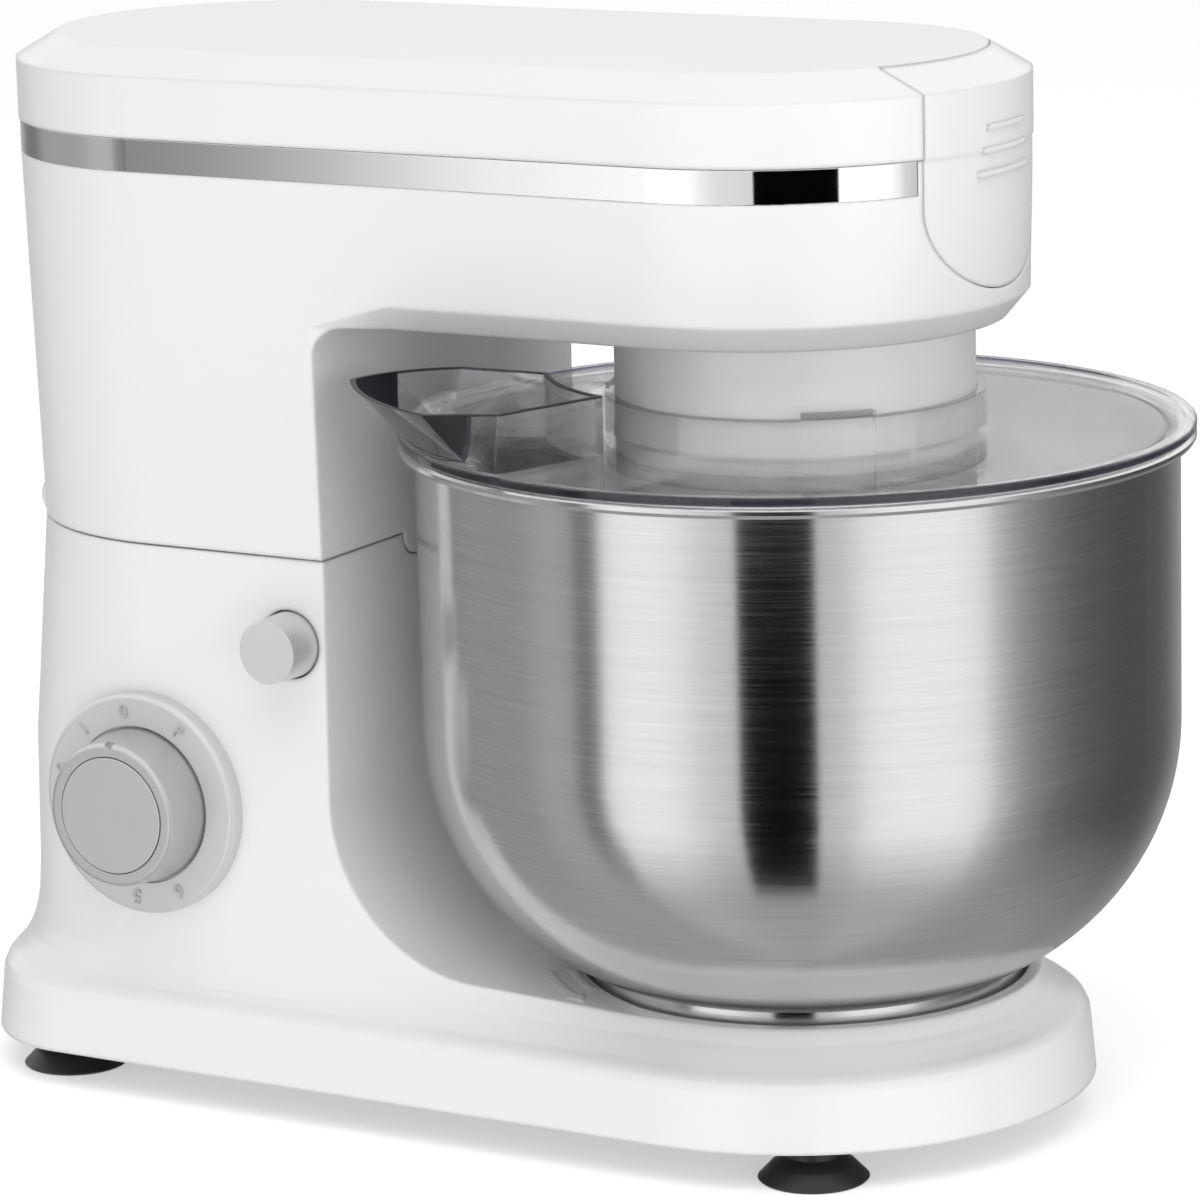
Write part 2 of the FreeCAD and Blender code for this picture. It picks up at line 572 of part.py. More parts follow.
# ----------------------------------------------------------- hinge, latch ----
def make_hinge_pin():
    pin = ycyl(HINGE_PIN_R, -HINGE_HALF - 1.0, HINGE_HALF + 1.0, HINGE_X, HINGE_Z)
    return pin


def make_button():
    body = ycone(BUTTON_TIP_R, BUTTON_R, BUTTON_FRONT_Y, -66, BUTTON_X, BUTTON_Z)
    body = body.cut(ycyl(7.6, BUTTON_FRONT_Y + 2.4, -60, BUTTON_X, BUTTON_Z))
    stem = ycyl(3.0, BUTTON_FRONT_Y + 1.5, -39.7, BUTTON_X, BUTTON_Z)
    return fuse(body, stem)


def make_button_guide():
    z = BUTTON_Z
    tube = ycyl(BUTTON_R + 2.2, -68.0, -56, BUTTON_X, z).cut(ycyl(BUTTON_R + MOVE_GAP, -70, -58, BUTTON_X, z))
    tube = tube.cut(ycyl(SHAFT_R + RUN_GAP, -80, -50, BUTTON_X, z))
    tube = tube.common(box(COLUMN_FRONT_X - 200, COLUMN_FRONT_X - WALL - 0.1, -100, 0, 0, 300))
    arm = box(-141, COLUMN_FRONT_X - WALL, -58, -56, z - 19, z - 9)
    return fuse(tube, arm)


def make_button_spring():
    # stands between the floor of the button's cup and the floor of the guide
    start = BUTTON_FRONT_Y + 2.4 + SPRING_WIRE_R + 0.05
    helix = Part.makeHelix(3.6, -58.0 - SPRING_WIRE_R - start, 5.2)
    profile = Part.Wire(Part.makeCircle(SPRING_WIRE_R, V(5.2, 0, 0), V(0, 1, 0)))
    wire = Part.Wire(helix).makePipeShell([profile], True, True)
    wire.rotate(V(0, 0, 0), V(1, 0, 0), -90)
    return wire.translated(V(BUTTON_X, start, BUTTON_Z))


def make_latch_lever():
    # rocker that turns the push of the button into the pull of the nose
    px = -142.0
    py = -36.0
    z = BUTTON_Z
    hub = cyl(5.0, z - 4, z + 4, px, py)
    arm = box(px, BUTTON_X + 3, py - 2.4, py + 2.4, z - 3, z + 3)
    nose = box(px - 20, px, py - 2.4, py + 2.4, z - 3, z + 3)
    lever = fuse(hub, arm, nose)
    return lever.cut(cyl(2.0 + RUN_GAP, z - 6, z + 6, px, py))


def make_latch_bracket():
    px = -142.0
    py = -36.0
    z = BUTTON_Z
    pin = cyl(2.0, z - 8, z + 8, px, py)
    low = box(px - 8, px + 8, py - 6, py + 10, z - 10.6, z - 8)
    top = SEAM_Z - SEAM_GAP / 2 - WALL
    high = box(px - 8, px + 8, py - 6, py + 10, z + 8, z + 10.6)
    post = box(px - 8, px + 8, py + 8, py + 10.6, z - 10.6, top)
    return fuse(pin, low, high, post)


def make_tilt_lock():
    # spring bolt under the seam that faces the head's catch
    z1 = SEAM_Z - 4
    bolt = box(-156.6, -150.4, -6, 6, z1 - 18, z1)
    shelf = box(-162, -144, -9, 9, z1 - 21, z1 - 18)
    rail = box(-148.9, -144, -9, 9, z1 - 18, SEAM_Z - SEAM_GAP / 2 - WALL)
    return fuse(bolt, shelf, rail)


# -------------------------------------------------------------- controls ----
def make_dial_ring():
    y1 = -72.6
    ring = ycyl(DIAL_RING_R, DIAL_RING_FRONT_Y, y1, DIAL_X, DIAL_Z)
    ring = ring.makeFillet(1.6, [e for e in ring.Edges if abs(e.CenterOfMass.y - DIAL_RING_FRONT_Y) < 0.1][:1])
    ring = ring.cut(ycyl(KNOB_BASE_R + 0.6, DIAL_RING_FRONT_Y - 1, DIAL_RING_FRONT_Y + 1.2, DIAL_X, DIAL_Z))
    ring = ring.cut(ycyl(SHAFT_R + RUN_GAP, -90, -60, DIAL_X, DIAL_Z))
    column = loft([DECK_EDGE, SWEEP_HIGH, SWEEP_END, COLUMN_MID, COLUMN_TOP])
    return ring.cut(column).removeSplitter()


def make_knob():
    y0 = DIAL_RING_FRONT_Y + 1.2 - MOVE_GAP
    body = ycone(KNOB_R, KNOB_BASE_R, KNOB_FRONT_Y, y0, DIAL_X, DIAL_Z)
    body = body.makeFillet(1.5, [e for e in body.Edges if abs(e.CenterOfMass.y - KNOB_FRONT_Y) < 0.1][:1])
    body = body.cut(ycyl(KNOB_CAP_R + 0.35, KNOB_FRONT_Y - 1, KNOB_FRONT_Y + 1.8, DIAL_X, DIAL_Z))
    body = body.cut(ycyl(KNOB_R - 3, KNOB_FRONT_Y + 4.4, y0 + 1, DIAL_X, DIAL_Z))
    hub = ycyl(7.0, KNOB_FRONT_Y + 4.0, y0 - 0.5, DIAL_X, DIAL_Z)
    body = body.fuse(hub).cut(ycyl(SHAFT_R, KNOB_FRONT_Y + 3.4, y0 + 2, DIAL_X, DIAL_Z))
    notch = ycyl(1.5, KNOB_FRONT_Y - 2, KNOB_FRONT_Y + 3.0, DIAL_X, DIAL_Z + KNOB_R)
    return body.cut(notch).removeSplitter()


def make_knob_cap():
    return ycyl(KNOB_CAP_R, KNOB_FRONT_Y - 0.2, KNOB_FRONT_Y + 1.8, DIAL_X, DIAL_Z)


def make_switch_shaft():
    return ycyl(SHAFT_R, KNOB_FRONT_Y + 3.4, -57.0, DIAL_X, DIAL_Z)


def make_rotary_switch():
    body = box(DIAL_X - 17, DIAL_X + 17, -62, -40, DIAL_Z - 17, DIAL_Z + 17)
    bush = ycyl(7.0, -68.6, -62, DIAL_X, DIAL_Z)
    switch = body.fuse(bush)
    for i in range(4):
        x = DIAL_X - 12 + 8 * i
        switch = switch.fuse(box(x - 1.4, x + 1.4, -40, -33, DIAL_Z + 9, DIAL_Z + 9.8))
    return switch.cut(ycyl(SHAFT_R + RUN_GAP, -80, -56.5, DIAL_X, DIAL_Z)).removeSplitter()


def make_control_board():
    board = box(-236, -150, 20, 21.6, 62, 132)
    parts = [box(-226, -206, 10, 20, 72, 92), box(-196, -186, 8, 20, 74, 118), box(-176, -160, 12, 20, 80, 96)]
    parts.append(box(-236, -150, 21.6, 24, 36 + 26, 66))
    return fuse(board, *parts)


def make_board_bracket():
    # upright carrier between board and bottom plate
    z0 = FOOT_H + 1.2 + PLATE_T
    post_a = box(-232, -226, 24, 30, z0, 126)
    post_b = box(-160, -154, 24, 30, z0, 126)
    bar = box(-232, -154, 24, 27, 60, 66)
    return fuse(post_a, post_b, bar)


# ----------------------------------------------------------------- drive ----
def make_stator():
    ring = xcyl(MOTOR_R, MOTOR_X0, MOTOR_X1, 0, MOTOR_Z)
    flats = box(MOTOR_X0, MOTOR_X1, -MOTOR_R + 3, MOTOR_R - 3, MOTOR_Z - MOTOR_R, MOTOR_Z + MOTOR_R)
    ring = ring.common(flats)
    return ring.cut(xcyl(19.6, MOTOR_X0 - 1, MOTOR_X1 + 1, 0, MOTOR_Z))


def make_field_coils():
    out = []
    for x0, x1 in ((MOTOR_X0 - 9, MOTOR_X0), (MOTOR_X1, MOTOR_X1 + 9)):
        ring = xcyl(25.0, x0, x1, 0, MOTOR_Z).cut(xcyl(20.4, x0 - 1, x1 + 1, 0, MOTOR_Z))
        out.append(ring.cut(box(x0 - 1, x1 + 1, -5, 5, MOTOR_Z - 40, MOTOR_Z + 40)))
    return group(out)


def make_armature():
    core = xcyl(19.0, MOTOR_X0 + 2, MOTOR_X1 - 2, 0, MOTOR_Z)
    for i in range(12):
        a = math.radians(30 * i)
        slot = box(MOTOR_X0, MOTOR_X1, -0.8, 0.8, 14, 22)
        slot.rotate(V(0, 0, 0), V(1, 0, 0), math.degrees(a))
        core = core.cut(slot.translated(V(0, 0, MOTOR_Z)))
    comm = xcyl(10.5, MOTOR_X0 - 12, MOTOR_X0 + 2, 0, MOTOR_Z)
    return fuse(core, comm).cut(xcyl(MOTOR_SHAFT_R, -260, 0, 0, MOTOR_Z))


def make_motor_shaft():
    return xcyl(MOTOR_SHAFT_R, MOTOR_X0 - 22, PINION_X1 + 2, 0, MOTOR_Z)


def make_motor_fan():
    x0 = MOTOR_X1 + 12
    hub = xcyl(9.0, x0, x0 + 12, 0, MOTOR_Z)
    disc = xcyl(27.0, x0, x0 + 1.6, 0, MOTOR_Z)
    fan = hub.fuse(disc)
    for i in range(11):
        blade = box(x0 + 1, x0 + 11, -0.7, 0.7, 8, 26.6)
        blade.rotate(V(0, 0, 0), V(1, 0, 0), 360.0 / 11 * i)
        fan = fan.fuse(blade.translated(V(0, 0, MOTOR_Z)))
    return fan.cut(xcyl(MOTOR_SHAFT_R, -260, 0, 0, MOTOR_Z)).removeSplitter()


def motor_bracket(x0, x1):
    floor = HEAD_UNDER_Z + WALL
    bar = box(x0, x1, -32, 32, MOTOR_Z - 9, MOTOR_Z + 9)
    leg_a = box(x0, x1, -38, -30, floor, MOTOR_Z + 9)
    leg_b = box(x0, x1, 30, 38, floor, MOTOR_Z + 9)
    return fuse(bar, leg_a, leg_b)


def make_front_bracket():
    # carries the long shaft between fan and pinion
    x0 = BRACKET_X
    x1 = BRACKET_X + 5.0
    return motor_bracket(x0, x1).cut(xcyl(MOTOR_SHAFT_R + RUN_GAP, x0 - 1, x1 + 1, 0, MOTOR_Z))


def make_rear_bracket():
    x0 = MOTOR_X0 - 20
    x1 = MOTOR_X0 - 15
    floor = SEAM_Z + SEAM_GAP / 2 + WALL
    frame = motor_bracket(x0, x1)
    legs = fuse(box(x0, x1, -38, -30, floor, HEAD_UNDER_Z + 4), box(x0, x1, 30, 38, floor, HEAD_UNDER_Z + 4))
    return fuse(frame, legs).cut(xcyl(MOTOR_SHAFT_R + RUN_GAP, x0 - 1, x1 + 1, 0, MOTOR_Z))


def make_motor_cradle():
    # two saddles that hold the stator on the head floor
    floor = SEAM_Z + SEAM_GAP / 2 + WALL
    out = []
    for x0 in (MOTOR_X0 + 6, MOTOR_X1 - 12):
        block = box(x0, x0 + 6, -34, 34, floor, MOTOR_Z)
        block = block.cut(xcyl(MOTOR_R, x0 - 1, x0 + 7, 0, MOTOR_Z))
        out.append(block.cut(box(x0 - 1, x0 + 7, -24, 24, floor + 6, MOTOR_Z - 24)))
    base = box(MOTOR_X0 + 6, MOTOR_X1 - 6, -34, 34, floor, floor + 3)
    return fuse(base, *out)


def teeth_cut(shape, r, depth, count, z0, z1):
    for i in range(count):
        a = 360.0 / count * i
        slot = box(r - depth, r + 2, -0.12 * 2 * math.pi * r / count * 2, 0.12 * 2 * math.pi * r / count * 2, z0, z1)
        slot.rotate(V(0, 0, 0), UP, a)
        shape = shape.cut(slot)
    return shape


def make_drive_pinion():
    length = PINION_X1 - PINION_X0
    gear = teeth_cut(cyl(PINION_R, 0, length), PINION_R, 1.6, 12, -1, length + 1)
    gear.rotate(V(0, 0, 0), V(0, 1, 0), 90)
    gear = gear.translated(V(PINION_X0, 0, MOTOR_Z))
    return gear.cut(xcyl(MOTOR_SHAFT_R, -260, 0, 0, MOTOR_Z))


def make_crown_gear():
    gear = fuse(cyl(CROWN_R, CROWN_TOP_Z - 5, CROWN_TOP_Z), cyl(10, CROWN_TOP_Z - 14, CROWN_TOP_Z - 4))
    for i in range(40):
        slot = box(20, CROWN_R + 1, -0.9, 0.9, CROWN_TOP_Z - 1.6, CROWN_TOP_Z + 1)
        slot.rotate(V(0, 0, 0), UP, 9.0 * i)
        gear = gear.cut(slot)
    return gear.cut(cyl(DRIVE_SHAFT_R, 200, 300))


def make_drive_shaft():
    return cyl(DRIVE_SHAFT_R, 205.0, CROWN_TOP_Z + 5)


def make_gear_frame():
    # bearing plate over the neck that carries the vertical shaft
    z0 = HEAD_UNDER_Z + WALL
    plate = cyl(NECK_R + 2, z0, z0 + 3.4)
    boss = cyl(12, z0 - 12, z0 + 7)
    return fuse(plate, boss).cut(cyl(DRIVE_SHAFT_R + RUN_GAP, 200, 300))


def make_neck():
    top = HEAD_UNDER_Z + WALL
    tube = cyl(NECK_R, NECK_BOTTOM_Z, HEAD_UNDER_Z).cut(cyl(NECK_R - 3.0, NECK_BOTTOM_Z - 1, HEAD_UNDER_Z + 1))
    spigot = cyl(NECK_R - WALL - 0.2, HEAD_UNDER_Z - 4, top).cut(cyl(NECK_R - 6, HEAD_UNDER_Z - 5, top + 1))
    step = cyl(NECK_R - 2.5, HEAD_UNDER_Z - 4, HEAD_UNDER_Z).cut(cyl(NECK_R - 6, HEAD_UNDER_Z - 5, top + 1))
    return fuse(tube, spigot, step)


def make_ring_gear():
    z0 = 214.0
    z1 = 224.0
    depth = 1.5
    ring = cyl(NECK_R - 3.0, z0, z1).cut(cyl(RING_GEAR_R + depth, z0 - 1, z1 + 1))
    tooth_w = 0.24 * 2 * math.pi * RING_GEAR_R / 38
    for i in range(38):
        tooth = box(RING_GEAR_R + 0.3, RING_GEAR_R + depth + 1, -tooth_w, tooth_w, z0, z1)
        tooth.rotate(V(0, 0, 0), UP, 360.0 / 38 * i)
        ring = ring.fuse(tooth)
    return ring.removeSplitter()


def make_carrier():
    plate = cyl(CARRIER_R, 199.6, 206.0)
    hub = cyl(11.0, 205, 212.0)
    post = cyl(9.4, 205, 212.6, ORBIT_R, 0)
    lip = cyl(CARRIER_R + 1.6, 195.0, 198.6)
    skirt = cyl(CARRIER_R, 198.0, 200.0)
    carrier = fuse(plate, hub, post, lip, skirt)
    carrier = carrier.cut(cyl(DRIVE_SHAFT_R, 205.0, 230))
    return carrier.cut(cyl(BEATER_SHAFT_R + RUN_GAP, 190, 230, ORBIT_R, 0))


def make_planet():
    z0 = 213.4
    z1 = 223.0
    gear = teeth_cut(cyl(PLANET_R - 0.2, z0, z1), PLANET_R - 0.2, 1.5, 12, z0 - 1, z1 + 1)
    return gear.cut(cyl(BEATER_SHAFT_R, 200, 230)).translated(V(ORBIT_R, 0, 0))


def make_beater_shaft():
    shaft = cyl(BEATER_SHAFT_R, 158.0, 225.0, ORBIT_R, 0)
    shaft = shaft.cut(ycyl(1.6, -20, 20, ORBIT_R, 178.0))
    return shaft


def make_cross_pin():
    return ycyl(1.6, -9.5, 9.5, ORBIT_R, 178.0)


def make_flat_beater():
    # hub with a bayonet slot, an outline frame and three cross bars
    x = ORBIT_R
    hub = cyl(9.5, 156.5, 184.0, x, 0).cut(cyl(BEATER_SHAFT_R, 158.0, 190, x, 0))
    hub = hub.cut(box(x - 1.6, x + 1.6, -12, 12, 176.4, 190))
    hub = hub.cut(ycyl(1.6, -12, 12, x, 178.0))
    outer = [V(-34, 0, 146), V(34, 0, 146), V(38, 0, 96), V(19, 0, 63), V(-19, 0, 63), V(-38, 0, 96), V(-34, 0, 146)]
    inner = [V(-27, 0, 139), V(27, 0, 139), V(31, 0, 98), V(15, 0, 70), V(-15, 0, 70), V(-31, 0, 98), V(-27, 0, 139)]
    frame = Part.Face(Part.makePolygon(outer)).extrude(V(0, 6, 0))
    frame = frame.cut(Part.Face(Part.makePolygon(inner)).extrude(V(0, 6, 0)))
    bars = [box(-31, 31, 0, 6, 116, 121), box(-30, 30, 0, 6, 94, 99), box(-3, 3, 0, 6, 66, 142)]
    web = box(-9, 9, 0, 6, 143, 158)
    blade = fuse(frame, web, *bars).translated(V(x, -3, 0))
    return fuse(hub, blade)


# ------------------------------------------------------------------- lid ----
def ring_point(r, deg, z):
    return V(r * math.cos(math.radians(deg)), r * math.sin(math.radians(deg)), z)


def chute_wire(z, low, shrink_by):
    # six-sided plan of the pouring chute at the lid or at its mouth
    z_pts = z
    a = ring_point(CHUTE_ARC_R, -146, z_pts)
    m = ring_point(CHUTE_ARC_R, -128.5, z_pts)
    b = ring_point(CHUTE_ARC_R, -111, z_pts)
    if low:
        c = V(-38.6, -104.2, z)
        d = V(-47.0, -102.8, z)
        de = ring_point(RIM_R - 1.6, -124, z)
        e = ring_point(RIM_R - 1.6, -138, z)
        f = V(-88.0, -47.0, z)
        ef = V(-89.5, -61.0, z)
    else:
        c = V(-37.4, -102.4, z)
        d = V(-57.0, -111.6, z)
        de = V(-88.0, -93.0, z)
        e = V(-106.5, -71.0, z)
        f = V(-87.0, -41.0, z)
        ef = V(-101.0, -54.0, z)
    edges = [Part.Arc(a, m, b).toShape(), Part.makeLine(b, c), Part.makeLine(c, d)]
    edges += [Part.Arc(d, de, e).toShape(), Part.Arc(e, ef, f).toShape(), Part.makeLine(f, a)]
    wire = Part.Wire(edges)
    if shrink_by:
        wire = wire.makeOffset2D(-shrink_by, 2)
    return wire


def chute_solid(shrink_by, z_low, z_high):
    span = CHUTE_TOP_Z - (RIM_Z + LID_GAP + LID_EDGE_T)
    wires = [chute_wire(RIM_Z + LID_GAP + LID_EDGE_T, True, shrink_by), chute_wire(CHUTE_TOP_Z, False, shrink_by)]
    solid = Part.makeLoft(wires, True, True)
    if z_low < wires[0].BoundBox.ZMin:
        drop = chute_wire(RIM_Z + LID_GAP + LID_EDGE_T, True, shrink_by)
        low = Part.Face(drop).extrude(V(0, 0, z_low - drop.BoundBox.ZMin))
        solid = solid.fuse(low)
    if z_high > CHUTE_TOP_Z:
        rise = chute_wire(CHUTE_TOP_Z, False, shrink_by)
        solid = solid.fuse(Part.Face(rise).extrude(V(0, 0, z_high - CHUTE_TOP_Z)))
    return solid


def make_lid():
    z0 = RIM_Z + LID_GAP
    inner_r = NECK_R + COLLAR_GAP
    plate = cyl(RIM_R - 2, z0, z0 + LID_T).cut(cyl(inner_r, z0 - 1, z0 + 9))
    edge = [(RIM_R - 3.4, z0), (RIM_R - 0.4, z0), (RIM_R, z0 + 0.5), (RIM_R, z0 + LID_EDGE_T - 0.5)]
    edge += [(RIM_R - 0.5, z0 + LID_EDGE_T), (RIM_R - 3.4, z0 + LID_EDGE_T)]
    lip_r = BOWL_R - BOWL_T - 2.0
    lip = [(lip_r - 1.4, z0 - 4.6), (lip_r, z0 - 4.6), (lip_r, z0 + 1), (lip_r - 1.4, z0 + 1)]
    collar = [(inner_r, z0), (inner_r + COLLAR_T, z0), (inner_r + COLLAR_T, COLLAR_TOP_Z), (inner_r, COLLAR_TOP_Z)]
    lid = plate.fuse([revolve(edge), revolve(lip), revolve(collar)])
    clip = sector(inner_r + COLLAR_T - 0.6, inner_r + COLLAR_T + 2.6, z0 + 1.6, COLLAR_TOP_Z + 2.2, -49.4, 21.5)
    tab = sector(inner_r + COLLAR_T - 0.6, inner_r + COLLAR_T + 5.0, COLLAR_TOP_Z - 2.6, COLLAR_TOP_Z + 1.0, -166, 15.0)
    lid = lid.fuse([clip, tab])
    outer = chute_solid(0.0, z0 + 0.5, 0)
    inner = chute_solid(CHUTE_T, z0 - 8, CHUTE_TOP_Z + 5)
    lid = lid.cut(chute_solid(0.2, z0 + 0.6, CHUTE_TOP_Z + 5))
    lid = lid.fuse(outer).cut(inner)
    return lid.removeSplitter()


def main():
    save("base_housing", make_base_housing())
    save("bottom_plate", make_bottom_plate())
    save("suction_feet", make_feet())
    save("plate_screws", make_plate_screws())
    save("bowl_seat", make_bowl_seat())
    save("bowl", make_bowl())
    save("head_housing", make_head_housing())
    save("top_cover", make_top_cover())
    save("chrome_band", make_chrome_band())
    save("front_cover", make_front_cover())
    save("outlet_socket", make_outlet_socket())
    save("hinge_pin", make_hinge_pin())
    save("release_button", make_button())
    save("button_guide", make_button_guide())
    save("button_spring", make_button_spring())
    save("latch_lever", make_latch_lever())
    save("latch_bracket", make_latch_bracket())
    save("tilt_lock", make_tilt_lock())
    save("dial_ring", make_dial_ring())
    save("speed_knob", make_knob())
    save("knob_cap", make_knob_cap())
    save("switch_shaft", make_switch_shaft())
    save("rotary_switch", make_rotary_switch())
    save("control_board", make_control_board())
    save("board_bracket", make_board_bracket())
    save("motor_stator", make_stator())
    save("field_coils", make_field_coils())
    save("armature", make_armature())
    save("motor_shaft", make_motor_shaft())
    save("motor_fan", make_motor_fan())
    save("front_bracket", make_front_bracket())
    save("rear_bracket", make_rear_bracket())
    save("motor_cradle", make_motor_cradle())
    save("drive_pinion", make_drive_pinion())
    save("crown_gear", make_crown_gear())
    save("drive_shaft", make_drive_shaft())
    save("gear_frame", make_gear_frame())
    save("neck", make_neck())
    save("ring_gear", make_ring_gear())
    save("planet_carrier", make_carrier())
    save("planet_pinion", make_planet())
    save("beater_shaft", make_beater_shaft())
    save("cross_pin", make_cross_pin())
    save("flat_beater", make_flat_beater())
    save("splash_lid", make_lid())


main()
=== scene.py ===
# %% [markdown]
# # Stand mixer: finishes, small details and a plain studio
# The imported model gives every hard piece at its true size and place. This
# script leaves those shapes alone. It gives each piece the finish of the real
# one, adds the small moulded marks, and sets up the light and the camera.

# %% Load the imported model
import json
import math

import bmesh
import bpy
from mathutils import Matrix, Quaternion, Vector


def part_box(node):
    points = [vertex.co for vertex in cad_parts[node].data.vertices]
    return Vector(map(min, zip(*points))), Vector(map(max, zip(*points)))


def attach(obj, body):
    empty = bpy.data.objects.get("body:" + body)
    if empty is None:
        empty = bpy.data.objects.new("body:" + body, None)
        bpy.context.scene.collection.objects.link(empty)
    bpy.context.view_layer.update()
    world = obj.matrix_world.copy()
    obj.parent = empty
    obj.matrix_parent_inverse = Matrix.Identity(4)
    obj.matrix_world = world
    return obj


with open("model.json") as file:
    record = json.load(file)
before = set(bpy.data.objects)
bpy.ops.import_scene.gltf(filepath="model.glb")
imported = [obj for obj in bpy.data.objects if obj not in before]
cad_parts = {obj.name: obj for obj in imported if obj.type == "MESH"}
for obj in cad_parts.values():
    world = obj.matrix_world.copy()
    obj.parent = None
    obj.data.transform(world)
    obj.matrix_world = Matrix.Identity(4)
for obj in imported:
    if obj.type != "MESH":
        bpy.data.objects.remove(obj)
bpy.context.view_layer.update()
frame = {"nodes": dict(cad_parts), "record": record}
nodes = frame["nodes"]

# %% [markdown]
# Most steps below start from a clean selection, and every piece carries one
# finish. These small helpers do both.

# %% Helpers for objects
MM = 0.001


def deselect():
    bpy.ops.object.select_all(action="DESELECT")
    bpy.context.view_layer.objects.active = None


def only(obj):
    deselect()
    obj.select_set(True)
    bpy.context.view_layer.objects.active = obj


def dress(obj, material):
    obj.data.materials.clear()
    obj.data.materials.append(material)


# %% [markdown]
# ## Finishes
# Several finishes share the same small effects: a moulded skin that is never
# quite flat, fine brush lines, and edges that are polished or worn by hands.
# Each effect is a node group, built once, with its own inputs.

# %% Node helpers


def new_group(name, inputs, outputs):
    group = bpy.data.node_groups.new(name, "ShaderNodeTree")
    for label, kind, value in inputs:
        sock = group.interface.new_socket(label, in_out="INPUT", socket_type=kind)
        if value is not None:
            sock.default_value = value
    for label, kind in outputs:
        group.interface.new_socket(label, in_out="OUTPUT", socket_type=kind)
    a = group.nodes.new("NodeGroupInput")
    b = group.nodes.new("NodeGroupOutput")
    a.location = (-900, 0)
    b.location = (600, 0)
    return group, a, b


def node(tree, kind, x=0, y=0, **settings):
    n = tree.nodes.new(kind)
    n.location = (x, y)
    for key, value in settings.items():
        setattr(n, key, value)
    return n


def set_range(n, **limits):
    for key, value in limits.items():
        n.inputs[key.replace("_", " ")].default_value = value


def roughness_band(tree, given, factor, spread, start_at, end_at):
    # the factor moves the roughness between its middle less and plus the spread
    low = node(tree, "ShaderNodeMath", -300, -300, operation="SUBTRACT")
    high = node(tree, "ShaderNodeMath", -300, -450, operation="ADD")
    for n in (low, high):
        tree.links.new(given.outputs["Roughness"], n.inputs[0])
        tree.links.new(given.outputs["Spread"], n.inputs[1])
    tree.links.new(factor, spread.inputs["Value"])
    set_range(spread, From_Min=start_at, From_Max=end_at)
    tree.links.new(low.outputs[0], spread.inputs["To Min"])
    tree.links.new(high.outputs[0], spread.inputs["To Max"])


# %% [markdown]
# Injection-moulded plastic has a faint orange-peel skin: waves of a few
# millimetres that bend a reflection, and a finer texture that softens it. Its
# edges are never sharp either, so the group rounds them in the shading.

# %% Group: moulded skin
skin, gi, go = new_group(
    "Moulded skin",
    [("Wave size", "NodeSocketFloat", 60.0), ("Wave height", "NodeSocketFloat", 0.05),
     ("Grain size", "NodeSocketFloat", 1500.0), ("Grain height", "NodeSocketFloat", 0.05),
     ("Roughness", "NodeSocketFloat", 0.25), ("Spread", "NodeSocketFloat", 0.06),
     ("Edge radius", "NodeSocketFloat", 0.0004)],
    [("Normal", "NodeSocketVector"), ("Roughness", "NodeSocketFloat"),
     ("Shade", "NodeSocketFloat")])
tc = node(skin, "ShaderNodeTexCoord", -1100, 200)
soft = node(skin, "ShaderNodeBevel", -300, 400, samples=6)
wave = node(skin, "ShaderNodeTexNoise", -650, 250)
grain = node(skin, "ShaderNodeTexNoise", -650, 0)
blot = node(skin, "ShaderNodeTexNoise", -650, -250)
blot.inputs["Scale"].default_value = 14.0
blot.inputs["Detail"].default_value = 4.0
wave.inputs["Detail"].default_value = 1.0
bump_a = node(skin, "ShaderNodeBump", 0, 250)
bump_b = node(skin, "ShaderNodeBump", 200, 100)
bump_a.inputs["Distance"].default_value = 0.001
bump_b.inputs["Distance"].default_value = 0.0002
spread = node(skin, "ShaderNodeMapRange", 0, -200)
for n in (wave, grain, blot):
    skin.links.new(tc.outputs["Object"], n.inputs["Vector"])
skin.links.new(gi.outputs["Wave size"], wave.inputs["Scale"])
skin.links.new(gi.outputs["Grain size"], grain.inputs["Scale"])
skin.links.new(gi.outputs["Edge radius"], soft.inputs["Radius"])
skin.links.new(soft.outputs["Normal"], bump_a.inputs["Normal"])
skin.links.new(wave.outputs["Fac"], bump_a.inputs["Height"])
skin.links.new(gi.outputs["Wave height"], bump_a.inputs["Strength"])
skin.links.new(bump_a.outputs["Normal"], bump_b.inputs["Normal"])
skin.links.new(grain.outputs["Fac"], bump_b.inputs["Height"])
skin.links.new(gi.outputs["Grain height"], bump_b.inputs["Strength"])
roughness_band(skin, gi, blot.outputs["Fac"], spread, 0.1, 0.9)
skin.links.new(bump_b.outputs["Normal"], go.inputs["Normal"])
skin.links.new(spread.outputs["Result"], go.inputs["Roughness"])
skin.links.new(blot.outputs["Fac"], go.inputs["Shade"])
print("group", skin.name, len(skin.nodes), "nodes")

# %% [markdown]
# Edges that hands, cloths and worktops rub get a little smoother and darker or
# brighter than the faces beside them. A bevel normal differs from the plain
# normal only near an edge, and that difference makes the mask.

